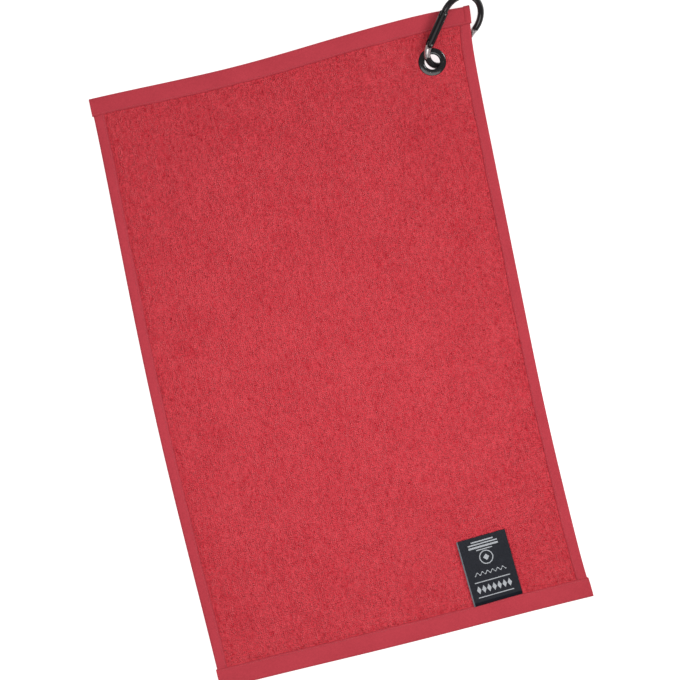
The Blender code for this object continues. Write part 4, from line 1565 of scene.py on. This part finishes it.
@dataclass
class Clip:
    """The bent rod and its sprung gate."""

    cloth: ClothShape
    steel: bpy.types.Material
    rod: float = 2.6 * MM
    inner_radius: float = 13.0 * MM
    outer_radius: float = 18.0 * MM
    spacing: float = 30.6 * MM
    setback: float = 1.5 * MM
    side_offset: float = 1.6 * MM
    heading: float = math.radians(45)
    tilt: float = math.radians(40)
    gate_radius: float = 3.25 * MM
    hinge_from_bend: float = 1.6 * MM
    hinge_shoulder: float = 3.9 * MM
    tongue: float = 2.2 * MM
    tongue_room: float = 1.2 * MM
    tongue_half: float = 1.1 * MM
    nose: float = 4.0 * MM
    end_gap: float = 0.45 * MM
    latch_inset: float = 1.6 * MM
    hinge_pin: float = 0.8 * MM
    latch_pin: float = 0.7 * MM
    chamfer: float = 0.5 * MM
    gap: float = 0.3 * MM
    spring_start: float = 7.0 * MM
    spring_length: float = 9.6 * MM
    spring_radius: float = 0.85 * MM
    wire: float = 0.2 * MM
    spring_turns: float = 8.0
    spring_shortening: float = 0.947 * MM
    bore: float = 1.35 * MM
    neck_patch: float = 5.6 * MM
    back_patch: float = 3.6 * MM

    def __post_init__(self) -> None:
        """Works out what follows from the sizes."""
        self.taper = math.asin((self.outer_radius - self.inner_radius) / self.spacing)
        pitch = math.atan(math.tan(self.taper) * math.sin(self.tilt))
        self.place = (
            Matrix.Translation(self.cloth.eyelet) @ Matrix.Rotation(self.heading, 4, "Z")
            @ Matrix.Rotation(-pitch, 4, "Y") @ Matrix.Rotation(self.tilt, 4, "X")
        )
        self.inner = Vector((self.inner_radius - self.setback, -self.side_offset, 0))
        self.outer = self.inner + Vector((self.spacing, 0, 0))
        self.bar_out = Vector((math.cos(self.taper), math.sin(self.taper), 0))
        self.gate_side = Vector((-math.sin(self.taper), math.cos(self.taper), 0))
        self.hinge = self.inner + self.gate_side * self.inner_radius + self.bar_out * self.hinge_from_bend
        self.shoulder = self.spacing * math.cos(self.taper) - self.hinge_from_bend
        self.gate_end = self.shoulder - self.end_gap
        self.gate_place = self.place @ Matrix.Translation(self.hinge) @ Matrix.Rotation(self.taper, 4, "Z")

    def finishes(self) -> tuple[bpy.types.Material, bpy.types.Material]:
        """The body's and the gate's enamel; the body shows bare metal round one point on each bend."""
        neck = self.inner + Vector((-0.5, 0.866, 0)) * self.inner_radius
        back = self.outer + Vector((-math.sin(self.taper), -math.cos(self.taper), 0)) * self.outer_radius
        back = back - self.bar_out * 2 * MM
        blotches = ((self.place @ neck, self.neck_patch), (self.place @ back, self.back_patch))
        body = BlackMetalFinish("clip_enamel", blotches=blotches).material()
        return body, BlackMetalFinish("gate_enamel", roughness=0.3, gloss=0.14, coat=0.03).material()

    def bend(self, centre: Vector, radius: float, start: float, end: float) -> list[tuple[Vector, Vector]]:
        """Centreline points round a bend, each with its outward heading."""
        count = math.ceil((start - end) / math.radians(3.5))
        turns = [start + (end - start) * step / count for step in range(count + 1)]
        headings = [Vector((math.cos(turn), math.sin(turn), 0)) for turn in turns]
        return [(centre + heading * radius, heading) for heading in headings]

    def rod_mesh(self, sides: int = 36) -> bpy.types.Mesh:
        """The whole bent rod, from its nose round both bends to its tongue."""
        angle = math.pi / 2 + self.taper
        path = [(self.hinge + self.bar_out * (self.gate_end - self.nose), self.gate_side)]
        path += self.bend(self.outer, self.outer_radius, angle, -angle)
        path += self.bend(self.inner, self.inner_radius, -angle, angle - 2 * math.pi)
        path.append((self.hinge + self.bar_out * self.tongue, self.gate_side))
        points, faces = [], []
        for centre, heading in path:
            for side in range(sides):
                turn = 2 * math.pi * side / sides
                points.append(self.place @ (centre + heading * (self.rod * math.cos(turn))
                                            + Vector((0, 0, self.rod * math.sin(turn)))))
        for row in range(len(path) - 1):
            for side in range(sides):
                a, b = row * sides + side, row * sides + (side + 1) % sides
                faces.append((a, b, b + sides, a + sides))
        last = (len(path) - 1) * sides
        faces += [tuple(range(sides))[::-1], tuple(range(last, last + sides))]
        mesh = mesh_of(np.array(points), faces, 40)
        face_outwards(mesh)
        return mesh

    def pin_tool(self, radius: float, along: float, place: Matrix) -> bpy.types.Mesh:
        """A round hole square to the clip's plane."""
        wide = self.gate_radius + MM
        centre = place @ Matrix.Translation((along, 0, 0))
        return turned([(0, -wide), (radius, -wide), (radius, wide), (0, wide)], centre, 32)

    def build_body(self, finish: bpy.types.Material) -> bpy.types.Object:
        """The rod with its tongue and its notched nose."""
        wide, thick = self.gate_radius + MM, self.tongue_half
        nose_end = self.gate_end - self.nose
        tools = []
        for low, high in ((-self.hinge_shoulder, self.tongue + MM), (nose_end - MM, self.shoulder)):
            for bottom, top in ((thick, wide), (-wide, -thick)):
                tools.append(block(Vector((low, -wide, bottom)), Vector((high, wide, top)), self.gate_place))
        tools.append(self.pin_tool(self.hinge_pin + self.gap, 0, self.gate_place))
        notch, middle = self.latch_pin + self.gap, self.gate_end - self.latch_inset
        tools.append(self.pin_tool(notch, middle, self.gate_place))
        low, high = Vector((middle - notch, -wide, -wide)), Vector((middle + notch, 0, wide))
        tools.append(block(low, high, self.gate_place))
        return carved("clip_rod", self.rod_mesh(), tools, finish)

    def build_gate(self, finish: bpy.types.Material) -> bpy.types.Object:
        """The gate: a thick bar with a domed hinge end and both ends slotted."""
        radius, end = self.gate_radius, self.gate_end
        turns = np.linspace(0, math.pi / 2, 14)
        outline = [(radius * math.sin(turn), -radius * math.cos(turn)) for turn in turns]
        outline[0] = (0, -radius)
        outline += arc_points((radius, end - self.chamfer), (radius - self.chamfer, end), True, 5)
        outline.append((0, end))
        place, wide = self.gate_place, radius + MM
        slot = self.tongue_half + self.gap
        tools = [
            block(Vector((-wide, -wide, -slot)), Vector((self.tongue + self.tongue_room, wide, slot)), place),
            block(
                Vector((end - self.nose - 2 * self.gap, -wide, -slot)), Vector((end + MM, wide, slot)), place
            ),
            self.pin_tool(self.hinge_pin + self.gap, 0, place),
            self.pin_tool(self.latch_pin + self.gap, end - self.latch_inset, place),
        ]
        bore_end = self.spring_start + self.spring_length + self.wire + self.gap
        bore = [(0, self.tongue), (self.bore, self.tongue), (self.bore, bore_end), (0, bore_end)]
        tools.append(turned(bore, place @ ALONG_X, 32))
        return carved("gate_bar", turned(outline, place @ ALONG_X, 64), tools, finish)

    def build_spring(self) -> bpy.types.Object:
        """The gate's spring, coiled by rule along the bore."""
        rule = Rule("gate_coil", {
            "Turns": self.spring_turns,
            "Coil radius": self.spring_radius,
            "Length": self.spring_length,
            "Wire radius": self.wire,
        })
        coil = rule.node("GeometryNodeCurveSpiral", {}, {
            "Resolution": 24, "Rotations": rule.given("Turns"), "Height": rule.given("Length"),
            "Start Radius": rule.given("Coil radius"), "End Radius": rule.given("Coil radius"),
        }).outputs[0]
        rule.close(rule.tube(coil, rule.given("Wire radius"), 10), self.steel)
        piece = rule.grow(bpy.data.meshes.new("seed"), "gate_coil_spring")
        piece.data.transform(self.gate_place @ Matrix.Translation((self.spring_start, 0, 0)) @ ALONG_X)
        return piece

    def build(self) -> list[bpy.types.Object]:
        """Builds the clip's pieces and dresses the pins and the plunger."""
        enamel, gate_enamel = self.finishes()
        rod, gate, spring = self.build_body(enamel), self.build_gate(gate_enamel), self.build_spring()
        finished(rod, Body.CLIP, ("clip_body",))
        finished(gate, Body.GATE, ("clip_gate",))
        finished(spring, Body.GATE, ("gate_spring",))
        axis = self.gate_place.to_3x3() @ Vector((1, 0, 0))
        anchor = self.gate_place @ Vector((self.spring_start + self.spring_length, 0, 0))
        keep = 1 - self.spring_shortening / self.spring_length
        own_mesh(spring)
        for name in ("gate_hinge_pin", "gate_latch_pin", "spring_plunger"):
            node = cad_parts[name]
            node.data.materials.clear()
            node.data.materials.append(self.steel)
            log.info("%s keeps its shape, in steel", name)
        return [rod, gate, spring]


@dataclass
class WovenLabel:
    """The label: a ribbon folded at its free end and sewn in at the bottom binding."""

    cloth: ClothShape
    level: float
    leaf: float = 0.3 * MM
    tuck: float = 1.6 * MM
    dive: float = 1.5 * MM
    dive_run: float = 2.6 * MM
    wave: float = 0.132 * MM
    curl: float = 0.55 * MM
    lift: float = 0.22 * MM
    across_cells: int = 48
    along_cells: int = 64

    def __post_init__(self) -> None:
        """Takes the label's size from the cloth that carries it."""
        self.width, self.length = self.cloth.label_size

    def line(self, is_upper: bool, is_outside: bool) -> np.ndarray:
        """One face of one leaf: distance from the sewn end, then height over the fold's middle."""
        share = np.linspace(0, 1, self.along_cells)
        fold = self.length - 1.5 * self.leaf
        along = -self.tuck + (fold + self.tuck) * share
        height = (1.5 if is_outside else 0.5) * self.leaf * (1 if is_upper else -1)
        return np.column_stack((along, np.full_like(along, height)))

    def section(self) -> np.ndarray:
        """The whole ribbon's outline, outside face first."""
        fold = self.length - 1.5 * self.leaf
        turns = np.linspace(0, math.pi, 12)[1:-1]
        outer, inner = (
            np.column_stack((fold + radius * np.sin(turns), radius * np.cos(turns)))
            for radius in (1.5 * self.leaf, 0.5 * self.leaf)
        )
        outside = np.vstack((self.line(True, True), outer, self.line(False, True)[::-1]))
        inside = np.vstack((self.line(True, False), inner, self.line(False, False)[::-1]))
        return np.vstack((outside, inside[::-1]))

    def settle(self, along: np.ndarray, across: np.ndarray) -> np.ndarray:
        """How the label lies: down into the seam, softly waved, its free corners a little raised.

        Args:
            along: distances from the sewn end.
            across: distances from the label's middle.

        Returns:
            How far each place is raised.
        """
        dive = self.dive * (1 - smooth((along + self.tuck) / self.dive_run))
        share = along / self.length
        side = across / (self.width / 2)
        wave = self.wave * np.sin(share * 5.2 + side * 1.1) * smooth(share / 0.3)
        curl = self.curl * smooth((share - 0.55) / 0.45) * side ** 2
        return wave - dive + curl + self.lift

    def build(self, finish: bpy.types.Material) -> bpy.types.Object:
        """Builds the ribbon and its map."""
        section = self.section()
        ring = len(section)
        across = np.linspace(-self.width / 2, self.width / 2, self.across_cells)
        side = np.repeat(across, ring)
        along, height = np.tile(section, (self.across_cells, 1)).T
        local = np.column_stack((side, along, height + self.settle(along, side)))
        turn = np.array(Matrix.Rotation(self.cloth.label_tilt, 3, "Z"))
        points = local @ turn.T + np.array((*self.cloth.label_origin, self.level))
        rows = np.arange(self.across_cells * ring).reshape(self.across_cells, ring)
        ahead = np.roll(rows, -1, axis=1)
        faces = np.stack((rows[:-1], rows[1:], ahead[1:], ahead[:-1]), axis=-1).reshape(-1, 4).tolist()
        half = ring // 2
        for row, is_last in ((0, False), (self.across_cells - 1, True)):
            outside, inside = rows[row, :half], rows[row, half:][::-1]
            for here in range(half - 1):
                face = [outside[here], outside[here + 1], inside[here + 1], inside[here]]
                faces.append(face[::-1] if is_last else face)
        mesh = mesh_of(points, faces, 60)
        face_outwards(mesh)
        hidden = np.tile(np.arange(ring) >= ring // 4, self.across_cells)
        beyond = np.where(hidden & (height < 0.9 * self.leaf), 2 * self.length, along)
        store_map(mesh, "label", np.column_stack((side + self.width / 2, beyond)))
        piece = add_object("satin_label", mesh, finish)
        return finished(piece, Body.LABEL, ("woven_label",))


# The stage

@dataclass(frozen=True)
class Lamp:
    """One soft light, aimed at a point."""

    name: str
    place: tuple[float, float, float]
    size: float
    power: float
    aim: tuple[float, float, float] = (0.0, 0.0, 0.0)
    colour: Colour = (1.0, 1.0, 1.0)

    def build(self) -> None:
        """Puts the light in the scene."""
        data = bpy.data.lights.new(self.name, "AREA")
        data.shape, data.size, data.energy, data.color = "DISK", self.size, self.power, self.colour
        lamp = bpy.data.objects.new(self.name, data)
        bpy.context.scene.collection.objects.link(lamp)
        lamp.location = self.place
        lamp.rotation_mode = "QUATERNION"
        lamp.rotation_quaternion = (Vector(self.place) - Vector(self.aim)).to_track_quat("Z", "Y")


@dataclass(frozen=True)
class Stage:
    """Table, lights and camera."""

    view_width: float = 541.3 * MM
    centre: tuple[float, float] = (3.1 * MM, 6.1 * MM)
    turn: float = math.radians(-13.3)
    lens: float = 160.0
    sensor: float = 36.0
    sky: float = 0.28
    table_half: float = 3.0
    lamps: tuple[Lamp, ...] = (
        Lamp("overhead_light", (-0.01, -0.08, 0.62), 0.6, 3.0),
        Lamp("side_light", (1.3, 0.7, 1.5), 0.6, 16.0),
    )

    def build(self) -> None:
        """Puts the table, the lights and the camera in the scene."""
        reach = self.table_half
        corners = [(-reach, -reach, 0), (reach, -reach, 0), (reach, reach, 0), (-reach, reach, 0)]
        mesh = bpy.data.meshes.new("table_top")
        mesh.from_pydata(corners, [], [(0, 1, 2, 3)])
        add_object("table_top", mesh, FloorFinish().material())
        world = bpy.data.worlds.new("studio")
        world.use_nodes = True
        background = world.node_tree.nodes["Background"].inputs
        background["Color"].default_value = (1.0, 1.0, 1.0, 1.0)
        background["Strength"].default_value = self.sky
        bpy.context.scene.world = world
        bpy.context.scene.view_settings.view_transform = "Standard"
        for lamp in self.lamps:
            lamp.build()
        data = bpy.data.cameras.new("overhead")
        data.lens, data.sensor_width = self.lens, self.sensor
        data.clip_end = 20.0
        camera = bpy.data.objects.new("overhead", data)
        bpy.context.scene.collection.objects.link(camera)
        camera.location = (*self.centre, self.view_width * self.lens / self.sensor)
        camera.rotation_euler = (0.0, 0.0, self.turn)
        bpy.context.scene.camera = camera


def main() -> None:
    """Builds the towel, dresses it and sets the stage."""
    cloth = ClothShape()
    terry = TerryCloth(cloth, TerryFinish().material())
    ground = terry.build()
    tape, thread = TapeFinish().material(), ThreadFinish().material()
    widths = {
        Side.LEFT: cloth.side_tape, Side.RIGHT: cloth.side_tape,
        Side.TOP: cloth.top_tape, Side.BOTTOM: cloth.bottom_tape,
    }
    edging = []
    for side, width in widths.items():
        edging += Binding(cloth, side, tape, thread, width).build()
    Eyelet(cloth, BlackMetalFinish("eyelet_enamel", roughness=0.13, gloss=0.4).material()).build()
    Clip(cloth, SteelFinish().material()).build()
    low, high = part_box("woven_label")
    label = WovenLabel(cloth, (low.z + high.z) / 2)
    ribbon = label.build(SatinFinish(label.width, label.length).material())
    Stage().build()
    edging + terry.pieces


if __name__ == "__main__":
    main()
